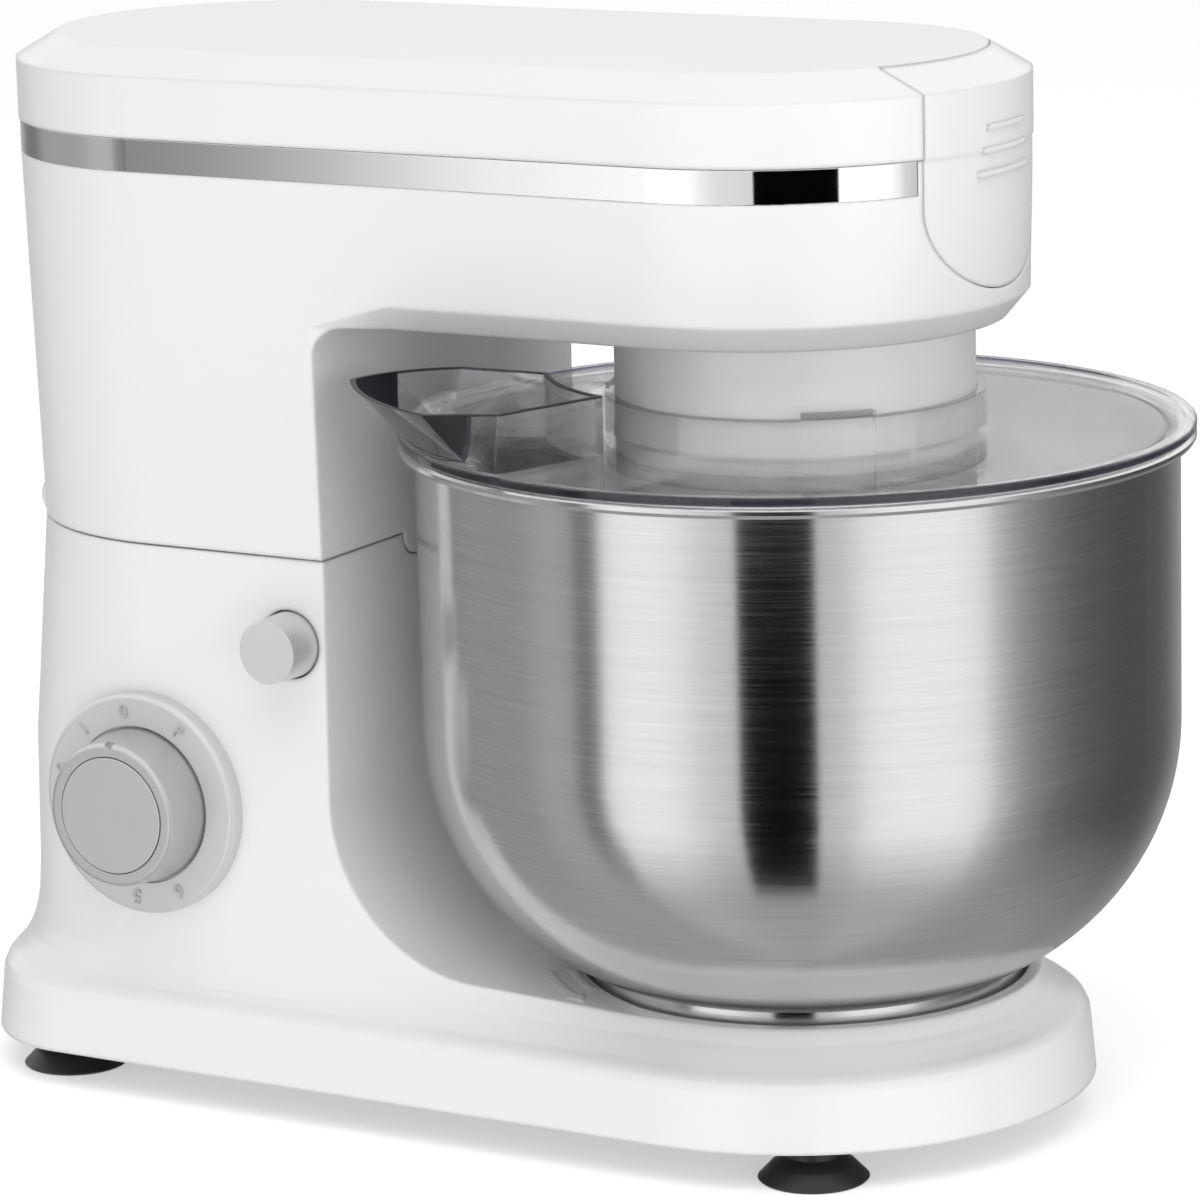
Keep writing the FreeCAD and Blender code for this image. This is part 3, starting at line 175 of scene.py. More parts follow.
# %% Group: edge wear
wear, gi, go = new_group(
    "Edge wear",
    [("Radius", "NodeSocketFloat", 0.0008), ("Gain", "NodeSocketFloat", 4.0)],
    [("Mask", "NodeSocketFloat")])
bevel = node(wear, "ShaderNodeBevel", -650, 100, samples=4)
geo = node(wear, "ShaderNodeNewGeometry", -650, -100)
dot = node(wear, "ShaderNodeVectorMath", -400, 0, operation="DOT_PRODUCT")
inv = node(wear, "ShaderNodeMath", -200, 0, operation="SUBTRACT")
inv.inputs[0].default_value = 1.0
gain = node(wear, "ShaderNodeMath", 0, 0, operation="MULTIPLY", use_clamp=True)
spots = node(wear, "ShaderNodeTexNoise", -400, -300)
spots.inputs["Scale"].default_value = 90.0
tc = node(wear, "ShaderNodeTexCoord", -650, -300)
patchy = node(wear, "ShaderNodeMath", 200, 0, operation="MULTIPLY")
wear.links.new(gi.outputs["Radius"], bevel.inputs["Radius"])
wear.links.new(bevel.outputs["Normal"], dot.inputs[0])
wear.links.new(geo.outputs["Normal"], dot.inputs[1])
wear.links.new(dot.outputs["Value"], inv.inputs[1])
wear.links.new(inv.outputs[0], gain.inputs[0])
wear.links.new(gi.outputs["Gain"], gain.inputs[1])
wear.links.new(tc.outputs["Object"], spots.inputs["Vector"])
wear.links.new(gain.outputs[0], patchy.inputs[0])
wear.links.new(spots.outputs["Fac"], patchy.inputs[1])
wear.links.new(patchy.outputs[0], go.inputs["Mask"])
print("group", wear.name, len(wear.nodes), "nodes")

# %% [markdown]
# A spun bowl is brushed while it turns, so its scratches run round the axis.
# Noise that is squeezed along the height and barely changes with the angle
# gives those lines. Ground shafts take the same group with coarser lines.

# %% Group: brush lines round the upright axis
brush, gi, go = new_group(
    "Turned brush lines",
    [("Lines", "NodeSocketFloat", 900.0), ("Length", "NodeSocketFloat", 2.0),
     ("Height", "NodeSocketFloat", 0.1), ("Roughness", "NodeSocketFloat", 0.25),
     ("Spread", "NodeSocketFloat", 0.08)],
    [("Normal", "NodeSocketVector"), ("Roughness", "NodeSocketFloat"),
     ("Shade", "NodeSocketFloat")])
tc = node(brush, "ShaderNodeTexCoord", -1500, 0)
split = node(brush, "ShaderNodeSeparateXYZ", -1300, 0)
turn = node(brush, "ShaderNodeMath", -1100, 150, operation="ARCTAN2")
rad = node(brush, "ShaderNodeVectorMath", -1100, -150, operation="LENGTH")
flat = node(brush, "ShaderNodeCombineXYZ", -1200, -300)
cosine = node(brush, "ShaderNodeMath", -900, 200, operation="COSINE")
sine = node(brush, "ShaderNodeMath", -900, 50, operation="SINE")
along = node(brush, "ShaderNodeMath", -700, 200, operation="MULTIPLY")
across = node(brush, "ShaderNodeMath", -700, 50, operation="MULTIPLY")
height = node(brush, "ShaderNodeMath", -900, -150, operation="ADD")
tall = node(brush, "ShaderNodeMath", -700, -150, operation="MULTIPLY")
join = node(brush, "ShaderNodeCombineXYZ", -500, 50)
lines = node(brush, "ShaderNodeTexNoise", -300, 50)
lines.inputs["Scale"].default_value = 1.0
lines.inputs["Detail"].default_value = 3.0
bump = node(brush, "ShaderNodeBump", 100, 150)
bump.inputs["Distance"].default_value = 0.0001
spread = node(brush, "ShaderNodeMapRange", 100, -150)
brush.links.new(tc.outputs["Object"], split.inputs[0])
brush.links.new(split.outputs["Y"], turn.inputs[0])
brush.links.new(split.outputs["X"], turn.inputs[1])
brush.links.new(split.outputs["X"], flat.inputs["X"])
brush.links.new(split.outputs["Y"], flat.inputs["Y"])
brush.links.new(flat.outputs[0], rad.inputs[0])
brush.links.new(turn.outputs[0], cosine.inputs[0])
brush.links.new(turn.outputs[0], sine.inputs[0])
brush.links.new(cosine.outputs[0], along.inputs[0])
brush.links.new(sine.outputs[0], across.inputs[0])
brush.links.new(gi.outputs["Length"], along.inputs[1])
brush.links.new(gi.outputs["Length"], across.inputs[1])
brush.links.new(split.outputs["Z"], height.inputs[0])
brush.links.new(rad.outputs["Value"], height.inputs[1])
brush.links.new(height.outputs[0], tall.inputs[0])
brush.links.new(gi.outputs["Lines"], tall.inputs[1])
brush.links.new(along.outputs[0], join.inputs["X"])
brush.links.new(across.outputs[0], join.inputs["Y"])
brush.links.new(tall.outputs[0], join.inputs["Z"])
brush.links.new(join.outputs[0], lines.inputs["Vector"])
brush.links.new(lines.outputs["Fac"], bump.inputs["Height"])
brush.links.new(gi.outputs["Height"], bump.inputs["Strength"])
roughness_band(brush, gi, lines.outputs["Fac"], spread, 0.3, 0.7)
brush.links.new(bump.outputs["Normal"], go.inputs["Normal"])
brush.links.new(spread.outputs["Result"], go.inputs["Roughness"])
brush.links.new(lines.outputs["Fac"], go.inputs["Shade"])
print("group", brush.name, len(brush.nodes), "nodes")

# %% [markdown]
# Every finish below starts the same way: one Principled shader whose plain
# numbers sit on its own sockets, with the groups feeding colour, roughness and
# the bump. `shade_by` lets a colour drift between two close tones.

# %% Material helpers


def start(name, **sockets):
    mat = bpy.data.materials.new(name)
    mat.use_nodes = True
    shader = mat.node_tree.nodes["Principled BSDF"]
    for key, value in sockets.items():
        shader.inputs[key.replace("_", " ")].default_value = value
    return mat, mat.node_tree, shader


def place(tree, group, x, y, **values):
    g = node(tree, "ShaderNodeGroup", x, y)
    g.node_tree = group
    for key, value in values.items():
        g.inputs[key.replace("_", " ")].default_value = value
    return g


def shade_by(tree, factor, dark, light, lo=0.15, hi=0.85):
    ramp = node(tree, "ShaderNodeValToRGB", -250, 200)
    ramp.color_ramp.elements[0].position = lo
    ramp.color_ramp.elements[1].position = hi
    ramp.color_ramp.elements[0].color = (*dark, 1)
    ramp.color_ramp.elements[1].color = (*light, 1)
    tree.links.new(factor, ramp.inputs["Fac"])
    return ramp.outputs["Color"]


def edge_tint(tree, mask, base, edge):
    mix = node(tree, "ShaderNodeMix", 0, 300, data_type="RGBA")
    tree.links.new(mask, mix.inputs["Factor"])
    tree.links.new(base, mix.inputs[6])
    mix.inputs[7].default_value = (*edge, 1)
    return mix.outputs[2]


def join_skin(tree, shader, surface, mask, dark, light, edge, factor=None, **limits):
    # feeds the shader from one surface group and one edge mask
    if factor is None:
        factor = surface.outputs["Shade"]
    colour = shade_by(tree, factor, dark, light, **limits)
    tree.links.new(edge_tint(tree, mask.outputs["Mask"], colour, edge), shader.inputs["Base Color"])
    tree.links.new(surface.outputs["Roughness"], shader.inputs["Roughness"])
    tree.links.new(surface.outputs["Normal"], shader.inputs["Normal"])


def worn(name, group, dark, light, edge, group_values, wear_values, **sockets):
    mat, tree, shader = start(name, **sockets)
    surface = place(tree, group, -600, -100, **group_values)
    mask = place(tree, wear, -600, 200, **wear_values)
    join_skin(tree, shader, surface, mask, dark, light, edge)
    return mat


def moulded(name, *values, **sockets):
    return worn(name, skin, *values, **sockets)


def turned(name, *values, **sockets):
    return worn(name, brush, *values, **sockets)


# %% [markdown]
# The housing is glossy white plastic. It reflects softly, because its skin has
# a slight wave, and its colour drifts by a hair between warm and cool white. The
# neck, a moulding of its own, gets a more matt and paler copy of that white; the
# paler colour is painted light that makes up for the shade the head casts on it.

# %% White housing
white = moulded(
    "white_shell", (0.805, 0.81, 0.815), (0.825, 0.83, 0.83), (0.86, 0.86, 0.86),
    dict(Wave_size=45.0, Wave_height=0.04, Grain_size=2500.0, Grain_height=0.03,
         Roughness=0.31, Spread=0.025, Edge_radius=0.0022),
    dict(Radius=0.0006, Gain=3.0), IOR=1.5, Coat_Weight=0.2, Coat_Roughness=0.12)

# A paler copy of the housing white: the extra brightness is painted light for the shade under the
# head.
neck_white_painted_light = moulded(
    "neck_white_painted_light", (0.90, 0.905, 0.91), (0.93, 0.935, 0.935), (0.94, 0.94, 0.94),
    dict(Wave_size=40.0, Wave_height=0.03, Grain_size=2500.0, Grain_height=0.03,
         Roughness=0.33, Spread=0.02, Edge_radius=0.0008),
    dict(Radius=0.0006, Gain=3.0), IOR=1.5, Coat_Weight=0.1, Coat_Roughness=0.15)

# %% [markdown]
# Silver parts are moulded plastic under a satin metallic paint: mostly metal to
# the eye, with a soft highlight and fine flakes that show as grain.

# %% Silver paint
silver = moulded(
    "silver_paint", (0.50, 0.505, 0.51), (0.58, 0.585, 0.59), (0.72, 0.72, 0.72),
    dict(Wave_size=60.0, Wave_height=0.03, Grain_size=3500.0, Grain_height=0.12,
         Roughness=0.38, Spread=0.05),
    dict(Radius=0.0006, Gain=5.0), Metallic=0.75, IOR=1.5)
# A paler, less metallic copy of the silver for the dial ring and the button. Its paler colour is
# painted light that makes up for the dark reflection these faces take from the studio.
silver_pale_painted_light = moulded(
    "silver_pale_painted_light", (0.60, 0.605, 0.61), (0.68, 0.685, 0.69), (0.8, 0.8, 0.8),
    dict(Wave_size=60.0, Wave_height=0.03, Grain_size=3500.0, Grain_height=0.12,
         Roughness=0.4, Spread=0.05),
    dict(Radius=0.0006, Gain=5.0), Metallic=0.45, IOR=1.5)
silver_face = moulded(
    "silver_disc", (0.56, 0.565, 0.57), (0.62, 0.625, 0.63), (0.75, 0.75, 0.75),
    dict(Wave_size=30.0, Wave_height=0.02, Grain_size=4200.0, Grain_height=0.08,
         Roughness=0.32, Spread=0.03),
    dict(Radius=0.0005, Gain=5.0), Metallic=0.7, IOR=1.5)

# %% [markdown]
# The band is polished chrome on plastic. It has no colour of its own: it shows
# the studio, a touch blurred where fingers and cloths have been.

# %% Chrome band
chrome = moulded(
    "bright_trim", (0.78, 0.78, 0.79), (0.86, 0.86, 0.87), (0.9, 0.9, 0.9),
    dict(Wave_size=25.0, Wave_height=0.01, Grain_size=3000.0, Grain_height=0.01,
         Roughness=0.045, Spread=0.02),
    dict(Radius=0.0003, Gain=3.0), Metallic=1.0)

# %% [markdown]
# The bowl is brushed while it spins, so a light in front of it is smeared up
# and down into a tall bright strip. Anisotropy with a tangent round the axis
# gives the smear, and the brush lines break it up.

# %% Bowl steel
steel, tree, shader = start("bowl_steel", Metallic=1.0, Anisotropic=0.75, Anisotropic_Rotation=0.25)
s = place(tree, brush, -600, -100, Lines=3200.0, Length=5.0, Height=0.06,
          Roughness=0.17, Spread=0.03)
wide = place(tree, brush, -600, -400, Lines=500.0, Length=1.2, Height=0.0,
             Roughness=0.3, Spread=0.1)
w = place(tree, wear, -600, 200, Radius=0.0008, Gain=4.0)
blend_lines = node(tree, "ShaderNodeMath", -400, 100, operation="MULTIPLY_ADD")
tree.links.new(s.outputs["Shade"], blend_lines.inputs[0])
blend_lines.inputs[1].default_value = 0.6
half = node(tree, "ShaderNodeMath", -500, -250, operation="MULTIPLY")
half.inputs[1].default_value = 0.4
tree.links.new(wide.outputs["Shade"], half.inputs[0])
tree.links.new(half.outputs[0], blend_lines.inputs[2])
join_skin(tree, shader, s, w, (0.56, 0.555, 0.55), (0.66, 0.655, 0.645), (0.8, 0.8, 0.8),
          blend_lines.outputs[0], lo=0.3, hi=0.7)
tangent = node(tree, "ShaderNodeTangent", -300, -500, direction_type="RADIAL", axis="Z")
tree.links.new(tangent.outputs["Tangent"], shader.inputs["Tangent"])

# %% [markdown]
# The lid is thin clear plastic with a smoky cast. Most light goes straight
# through its walls, so what stands behind stays bright. Seen edge on, though,
# the plastic is deep, and there it looks nearly black. That dark look is painted
# into the colour as shade, at three places that show an edge: the outside of the
# rim, the mouth of the chute and the top of the collar. A group marks them by
# radius and height.

# %% Group: painted shade on the edges of clear plastic
edges, gi, go = new_group(
    "Clear edges",
    [("Rim radius", "NodeSocketFloat", 0.1144), ("Mouth height", "NodeSocketFloat", 0.2213),
     ("Collar radius", "NodeSocketFloat", 0.0555), ("Collar height", "NodeSocketFloat", 0.2150),
     ("Softness", "NodeSocketFloat", 0.0003)],
    [("Mask", "NodeSocketFloat")])
tc = node(edges, "ShaderNodeTexCoord", -1300, 0)
split = node(edges, "ShaderNodeSeparateXYZ", -1100, 0)
flat = node(edges, "ShaderNodeCombineXYZ", -900, 150)
rad = node(edges, "ShaderNodeVectorMath", -700, 150, operation="LENGTH")
edges.links.new(tc.outputs["Object"], split.inputs[0])
edges.links.new(split.outputs["X"], flat.inputs["X"])
edges.links.new(split.outputs["Y"], flat.inputs["Y"])
edges.links.new(flat.outputs[0], rad.inputs[0])


def above(value, limit, x, y):
    # rises from 0 to 1 as the value passes the limit, over the softness
    gap = node(edges, "ShaderNodeMath", x, y, operation="SUBTRACT")
    share = node(edges, "ShaderNodeMath", x + 180, y, operation="DIVIDE", use_clamp=True)
    edges.links.new(value, gap.inputs[0])
    edges.links.new(limit, gap.inputs[1])
    edges.links.new(gap.outputs[0], share.inputs[0])
    edges.links.new(gi.outputs["Softness"], share.inputs[1])
    return share.outputs[0]


rim = above(rad.outputs["Value"], gi.outputs["Rim radius"], -500, 300)
mouth = above(split.outputs["Z"], gi.outputs["Mouth height"], -500, 0)
top = above(split.outputs["Z"], gi.outputs["Collar height"], -500, -200)
within = above(gi.outputs["Collar radius"], rad.outputs["Value"], -500, -400)
collar = node(edges, "ShaderNodeMath", -100, -300, operation="MULTIPLY")
collar_part = node(edges, "ShaderNodeMath", 50, -300, operation="MULTIPLY")
collar_part.inputs[1].default_value = 0.75
# The mask of the painted dark edges: rim, chute mouth and collar top.
either = node(edges, "ShaderNodeMath", 100, 100, operation="MAXIMUM")
painted_dark_edge = node(edges, "ShaderNodeMath", 300, 0, operation="MAXIMUM")
edges.links.new(top, collar.inputs[0])
edges.links.new(within, collar.inputs[1])
edges.links.new(collar.outputs[0], collar_part.inputs[0])
edges.links.new(rim, either.inputs[0])
edges.links.new(mouth, either.inputs[1])
edges.links.new(either.outputs[0], painted_dark_edge.inputs[0])
edges.links.new(collar_part.outputs[0], painted_dark_edge.inputs[1])
edges.links.new(painted_dark_edge.outputs[0], go.inputs["Mask"])
print("group", edges.name, len(edges.nodes), "nodes")

# %% Clear lid
clear, tree, shader = start("clear_lid", Transmission_Weight=1.0, IOR=1.49, Metallic=0.0)
s = place(tree, skin, -600, -100, Wave_size=30.0, Wave_height=0.03, Grain_size=2000.0,
          Grain_height=0.01, Roughness=0.035, Spread=0.02, Edge_radius=0.0003)
m = place(tree, edges, -600, 200)
# Painted shade: the marked edges take a nearly black colour.
join_skin(tree, shader, s, m, (0.88, 0.885, 0.90), (0.93, 0.935, 0.945), (0.02, 0.02, 0.035))
solid_part = node(tree, "ShaderNodeMapRange", -250, -350)
set_range(solid_part, To_Min=0.5, To_Max=1.0)
tree.links.new(m.outputs["Mask"], solid_part.inputs["Value"])
tree.links.new(solid_part.outputs["Result"], shader.inputs["Alpha"])

# %% [markdown]
# The remaining finishes are the working ones: black rubber feet, grey inner
# mouldings, ground shafts, plain castings, nylon gears, varnished motor iron,
# copper windings and the green board.

# %% Working finishes
rubber = moulded(
    "black_rubber", (0.008, 0.008, 0.009), (0.018, 0.018, 0.02), (0.05, 0.05, 0.05),
    dict(Wave_size=80.0, Wave_height=0.05, Grain_size=900.0, Grain_height=0.2,
         Roughness=0.42, Spread=0.08),
    dict(Radius=0.0008, Gain=3.0), IOR=1.52)
grey = moulded(
    "grey_plastic", (0.20, 0.205, 0.215), (0.26, 0.265, 0.275), (0.34, 0.34, 0.35),
    dict(Wave_size=70.0, Wave_height=0.04, Grain_size=1400.0, Grain_height=0.15,
         Roughness=0.46, Spread=0.07),
    dict(Radius=0.0006, Gain=3.0), IOR=1.5)
nylon = moulded(
    "gear_plastic", (0.70, 0.68, 0.60), (0.78, 0.76, 0.68), (0.84, 0.82, 0.76),
    dict(Wave_size=90.0, Wave_height=0.05, Grain_size=1200.0, Grain_height=0.1,
         Roughness=0.42, Spread=0.07),
    dict(Radius=0.0004, Gain=3.0), IOR=1.53)
shafting = turned(
    "shaft_steel", (0.42, 0.42, 0.43), (0.58, 0.58, 0.59), (0.72, 0.72, 0.72),
    dict(Lines=2000.0, Length=2.0, Height=0.2, Roughness=0.28, Spread=0.08),
    dict(Radius=0.0005, Gain=5.0), Metallic=1.0)
casting = moulded(
    "cast_metal", (0.48, 0.48, 0.49), (0.60, 0.60, 0.61), (0.76, 0.76, 0.76),
    dict(Wave_size=120.0, Wave_height=0.12, Grain_size=800.0, Grain_height=0.5,
         Roughness=0.45, Spread=0.1),
    dict(Radius=0.0008, Gain=5.0), Metallic=1.0)
iron = moulded(
    "motor_iron", (0.05, 0.05, 0.055), (0.11, 0.11, 0.115), (0.3, 0.3, 0.3),
    dict(Wave_size=150.0, Wave_height=0.1, Grain_size=900.0, Grain_height=0.4,
         Roughness=0.5, Spread=0.1),
    dict(Radius=0.0006, Gain=5.0), Metallic=0.7)
copper = moulded(
    "copper_wire", (0.42, 0.16, 0.06), (0.62, 0.26, 0.10), (0.8, 0.4, 0.2),
    dict(Wave_size=300.0, Wave_height=0.3, Grain_size=1500.0, Grain_height=0.6,
         Roughness=0.33, Spread=0.08),
    dict(Radius=0.0006, Gain=4.0), Metallic=0.9)
board = moulded(
    "board_green", (0.015, 0.12, 0.04), (0.025, 0.18, 0.06), (0.2, 0.3, 0.2),
    dict(Wave_size=200.0, Wave_height=0.08, Grain_size=1200.0, Grain_height=0.1,
         Roughness=0.3, Spread=0.06),
    dict(Radius=0.0004, Gain=4.0), IOR=1.5)
print("materials", len(bpy.data.materials))

# %% [markdown]
# Each piece takes its finish from what it is made of. The record's slots give
# that, so one table serves for every piece.

# %% Put the finishes on
BY_SLOT = {
    "white_shell": white, "grey_plastic": grey, "black_rubber": rubber, "screw_steel": shafting,
    "bowl_steel": steel, "bright_trim": chrome, "silver_plastic": silver, "shaft_steel": shafting,
    "board_green": board, "motor_iron": iron, "copper_wire": copper, "cast_metal": casting,
    "gear_plastic": nylon, "clear_lid": clear,
}
slot_of = {part["node"]: part["material_slot"] for part in frame["record"]["subparts"]}
for name, obj in nodes.items():
    dress(obj, BY_SLOT[slot_of[name]])
dress(nodes["knob_cap"], silver_face)
# Painted light: the paler silver makes up for the ring's dark reflection.
dress(nodes["dial_ring"], silver_pale_painted_light)
# The neck takes the paler white, painted light for the shade of the head.
dress(nodes["neck"], neck_white_painted_light)
# Painted light: the button takes the same paler silver for its dark reflection.
dress(nodes["release_button"], silver_pale_painted_light)
print("dressed", len(nodes))

# %% [markdown]
# ## Small marks
# The dial's figures are moulded into the ring, a third of a millimetre proud.
# They are set as text, thickened, turned into a mesh, and stood on the ring's
# face at their places round the knob.

# %% Dial figures
ring_low, ring_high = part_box("dial_ring")
dial = Vector(((ring_low[0] + ring_high[0]) / 2, ring_low[1], (ring_low[2] + ring_high[2]) / 2))
ring_r = (ring_high[0] - ring_low[0]) / 2
MARK_R = ring_r - 5.3 * MM
FIGURE_HIGH = 6.0 * MM
FIGURE_PROUD = 0.3 * MM
FIGURE_SUNK = 0.1 * MM
MARKS = [("P", -33), ("0", 8), ("1", 41), ("2", 72), ("3", 106), ("4", 140), ("5", 176), ("6", 208)]


def figure(text, degrees):
    deselect()
    bpy.ops.object.text_add(location=(0, 0, 0))
    obj = bpy.context.object
    obj.data.body = text
    obj.data.size = FIGURE_HIGH
    obj.data.align_x = "CENTER"
    obj.data.align_y = "CENTER"
    obj.data.extrude = FIGURE_PROUD
    obj.data.bevel_depth = 0.06 * MM
    obj.data.bevel_resolution = 1
    only(obj)
    bpy.ops.object.convert(target="MESH")
    turn = math.radians(degrees)
    away = Matrix.Translation((0, MARK_R, 0))
    upright = Matrix.Rotation(math.radians(90), 4, "X")
    on_face = Matrix.Translation(dial + Vector((0, -FIGURE_SUNK, 0)))
    obj.data.transform(on_face @ upright @ Matrix.Rotation(turn, 4, "Z") @ away)
    return obj


figures = [figure(t, a) for t, a in MARKS]
deselect()
for obj in figures:
    obj.select_set(True)
bpy.context.view_layer.objects.active = figures[0]
bpy.ops.object.join()
marks = bpy.context.object
marks.name = "dial_figures"
marks.data.name = "dial_figures"
dress(marks, silver)
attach(marks, "base")
print("figures", len(MARKS), "faces", len(marks.data.polygons))

# %% [markdown]
# Two raised arrows on the deck show which way the bowl turns to lock and to
# open. Each starts as a small square on the circle round the bowl's axis. Its
# leading edge is drawn out and turned about the axis step by step, then flared
# and closed to a point for the head. The deck slopes gently towards the
# pedestal, so the finished arrow is tipped by the same slope.

# %% Arrows on the deck
DECK_X = -68.0 * MM
DECK_HIGH = 46.05 * MM
DECK_SLOPE = math.atan(2.5 / 48.0)
ARROW_STEPS = 8
HEAD_FLARE = 2.3
HEAD_BACK = 0.6
HEAD_LENGTH = 3.6
ARROW_THICK = 0.5 * MM
ARROW_ROUND = 0.08 * MM


def pick_edge(obj, degrees):
    # selects only the two corners that lie on the ray at this angle
    bpy.ops.mesh.select_all(action="DESELECT")
    mesh = bmesh.from_edit_mesh(obj.data)
    direction = Vector((math.cos(math.radians(degrees)), math.sin(math.radians(degrees)), 0))
    side = direction.cross(Vector((0, 0, 1)))
    offsets = sorted(abs(v.co.dot(side)) for v in mesh.verts)
    for v in mesh.verts:
        v.select = abs(v.co.dot(side)) <= offsets[1] + 1e-7
    mesh.select_flush(True)
    bmesh.update_edit_mesh(obj.data)


def turn_about(centre, degrees, axis="Z"):
    bpy.ops.transform.rotate(value=-math.radians(degrees), orient_axis=axis, center_override=centre)


def curved_arrow(name, radius, start_deg, end_deg, half):
    deselect()
    bpy.ops.mesh.primitive_plane_add(size=2 * half, location=(radius, 0, DECK_HIGH))
    obj = bpy.context.object
    obj.name = name
    obj.data.name = name
    bpy.ops.object.transform_apply(location=True, rotation=True, scale=True)
    bpy.ops.object.mode_set(mode="EDIT")
    bpy.ops.mesh.select_all(action="SELECT")
    turn_about((0, 0, 0), start_deg)
    way = math.copysign(1.0, end_deg - start_deg)
    half_angle = math.degrees(half / radius)
    pick_edge(obj, start_deg + way * half_angle)
    for step in range(ARROW_STEPS):
        bpy.ops.mesh.extrude_region_move()
        turn_about((0, 0, 0), (end_deg - start_deg) / ARROW_STEPS)
    middle = math.radians(start_deg + way * half_angle + (end_deg - start_deg))
    at = (radius * math.cos(middle), radius * math.sin(middle), DECK_HIGH)
    bpy.ops.mesh.extrude_region_move()
    bpy.ops.transform.resize(value=(HEAD_FLARE, HEAD_FLARE, 1.0), center_override=at)
    turn_about((0, 0, 0), way * HEAD_BACK)
    bpy.ops.mesh.extrude_region_move()
    turn_about((0, 0, 0), way * math.degrees(HEAD_LENGTH * half / radius))
    bpy.ops.mesh.merge(type="CENTER")
    bpy.ops.mesh.select_all(action="SELECT")
    turn_about((DECK_X, 0, DECK_HIGH), math.degrees(DECK_SLOPE), "Y")
    bpy.ops.mesh.normals_make_consistent(inside=False)
    bpy.ops.object.mode_set(mode="OBJECT")
    if obj.data.polygons[0].normal.z < 0:
        obj.data.flip_normals()
    solid = obj.modifiers.new("thick", "SOLIDIFY")
    solid.thickness = ARROW_THICK
    solid.offset = 0.5
    rounded = obj.modifiers.new("rounded", "BEVEL")
    rounded.width = ARROW_ROUND
    rounded.segments = 2
    for modifier in (solid.name, rounded.name):
        bpy.ops.object.modifier_apply(modifier=modifier)
    dress(obj, white)
    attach(obj, "base")
    return obj


lock_arrow = curved_arrow("lock_arrow", 76.2 * MM, -139.5, -124.0, 1.5 * MM)
open_arrow = curved_arrow("open_arrow", 68.8 * MM, -126.5, -139.0, 1.2 * MM)
for obj in (lock_arrow, open_arrow):
    xs, ys, zs = zip(*((v.co.x, v.co.y, v.co.z) for v in obj.data.vertices))
    print(obj.name, "faces", len(obj.data.polygons), "mm",
          [round(f(c) / MM, 1) for c in (xs, ys, zs) for f in (min, max)])

# %% [markdown]
# ## Studio
# The machine stands on a wide pale card. Large soft lights stand beside the
# camera, in front of the head and above. Steel and chrome only look like metal
# when they have something dark to reflect, so black cards stand close by. The
# camera itself doesn't see them.

# %% Floor
deselect()
bpy.ops.mesh.primitive_plane_add(size=12.0, location=(0, 0, 0))
floor = bpy.context.object
floor.name = "floor"
paper, tree, shader = start("pale_card", Roughness=0.9, Emission_Color=(1, 1, 1, 1),
                            Emission_Strength=0.42)
tc = node(tree, "ShaderNodeTexCoord", -800, 0)
fibre = node(tree, "ShaderNodeTexNoise", -600, 0)
fibre.inputs["Scale"].default_value = 300.0
tree.links.new(tc.outputs["Object"], fibre.inputs["Vector"])
paper_tone = shade_by(tree, fibre.outputs["Fac"], (0.86, 0.86, 0.86), (0.9, 0.9, 0.9))
tree.links.new(paper_tone, shader.inputs["Base Color"])
dress(floor, paper)

# %% Camera
camera_data = bpy.data.cameras.new("camera")
camera_data.lens = 167.17
camera_data.sensor_width = 36.0
camera_data.sensor_fit = "HORIZONTAL"
camera = bpy.data.objects.new("camera", camera_data)
bpy.context.collection.objects.link(camera)
eye = Vector((0.75474, -1.38859, 0.50274))
target = Vector((-0.06715, 0.0, 0.14701))
roll = Quaternion((0, 0, 1), math.radians(-1.465))
camera.location = eye
camera.rotation_euler = ((target - eye).to_track_quat("-Z", "Y") @ roll).to_euler()
bpy.context.scene.camera = camera

# %% [markdown]
# The surroundings do three jobs. The camera sees plain white. Matt surfaces
# are lit by a soft dome that is brighter above than below. Shiny ones mirror
# a ring of pale and grey card round the machine: bright on both sides of the
# camera, and darker towards the right and the back, so that a round bowl
# reads as round.

# %% World
world = bpy.data.worlds.new("studio")
bpy.context.scene.world = world
world.use_nodes = True
tree = world.node_tree
background = tree.nodes["Background"]
tc = node(tree, "ShaderNodeTexCoord", -1400, 0)
split = node(tree, "ShaderNodeSeparateXYZ", -1200, 0)
tree.links.new(tc.outputs["Generated"], split.inputs[0])
dome = node(tree, "ShaderNodeMapRange", -900, 300)
set_range(dome, From_Min=-0.6, From_Max=0.7, To_Min=0.28, To_Max=0.60)
tree.links.new(split.outputs["Z"], dome.inputs["Value"])
CAMERA_SIDE = math.atan2(eye.y, eye.x)
turn = node(tree, "ShaderNodeMath", -1000, 0, operation="ARCTAN2")
tree.links.new(split.outputs["Y"], turn.inputs[0])
tree.links.new(split.outputs["X"], turn.inputs[1])
behind = node(tree, "ShaderNodeMath", -850, 0, operation="SUBTRACT")
behind.inputs[1].default_value = CAMERA_SIDE - math.pi
tree.links.new(turn.outputs[0], behind.inputs[0])
share = node(tree, "ShaderNodeMath", -700, 0, operation="DIVIDE")
share.inputs[1].default_value = 2 * math.pi
tree.links.new(behind.outputs[0], share.inputs[0])
wrap = node(tree, "ShaderNodeMath", -550, 0, operation="FRACT")
tree.links.new(share.outputs[0], wrap.inputs[0])
ring = node(tree, "ShaderNodeFloatCurve", -400, 0)
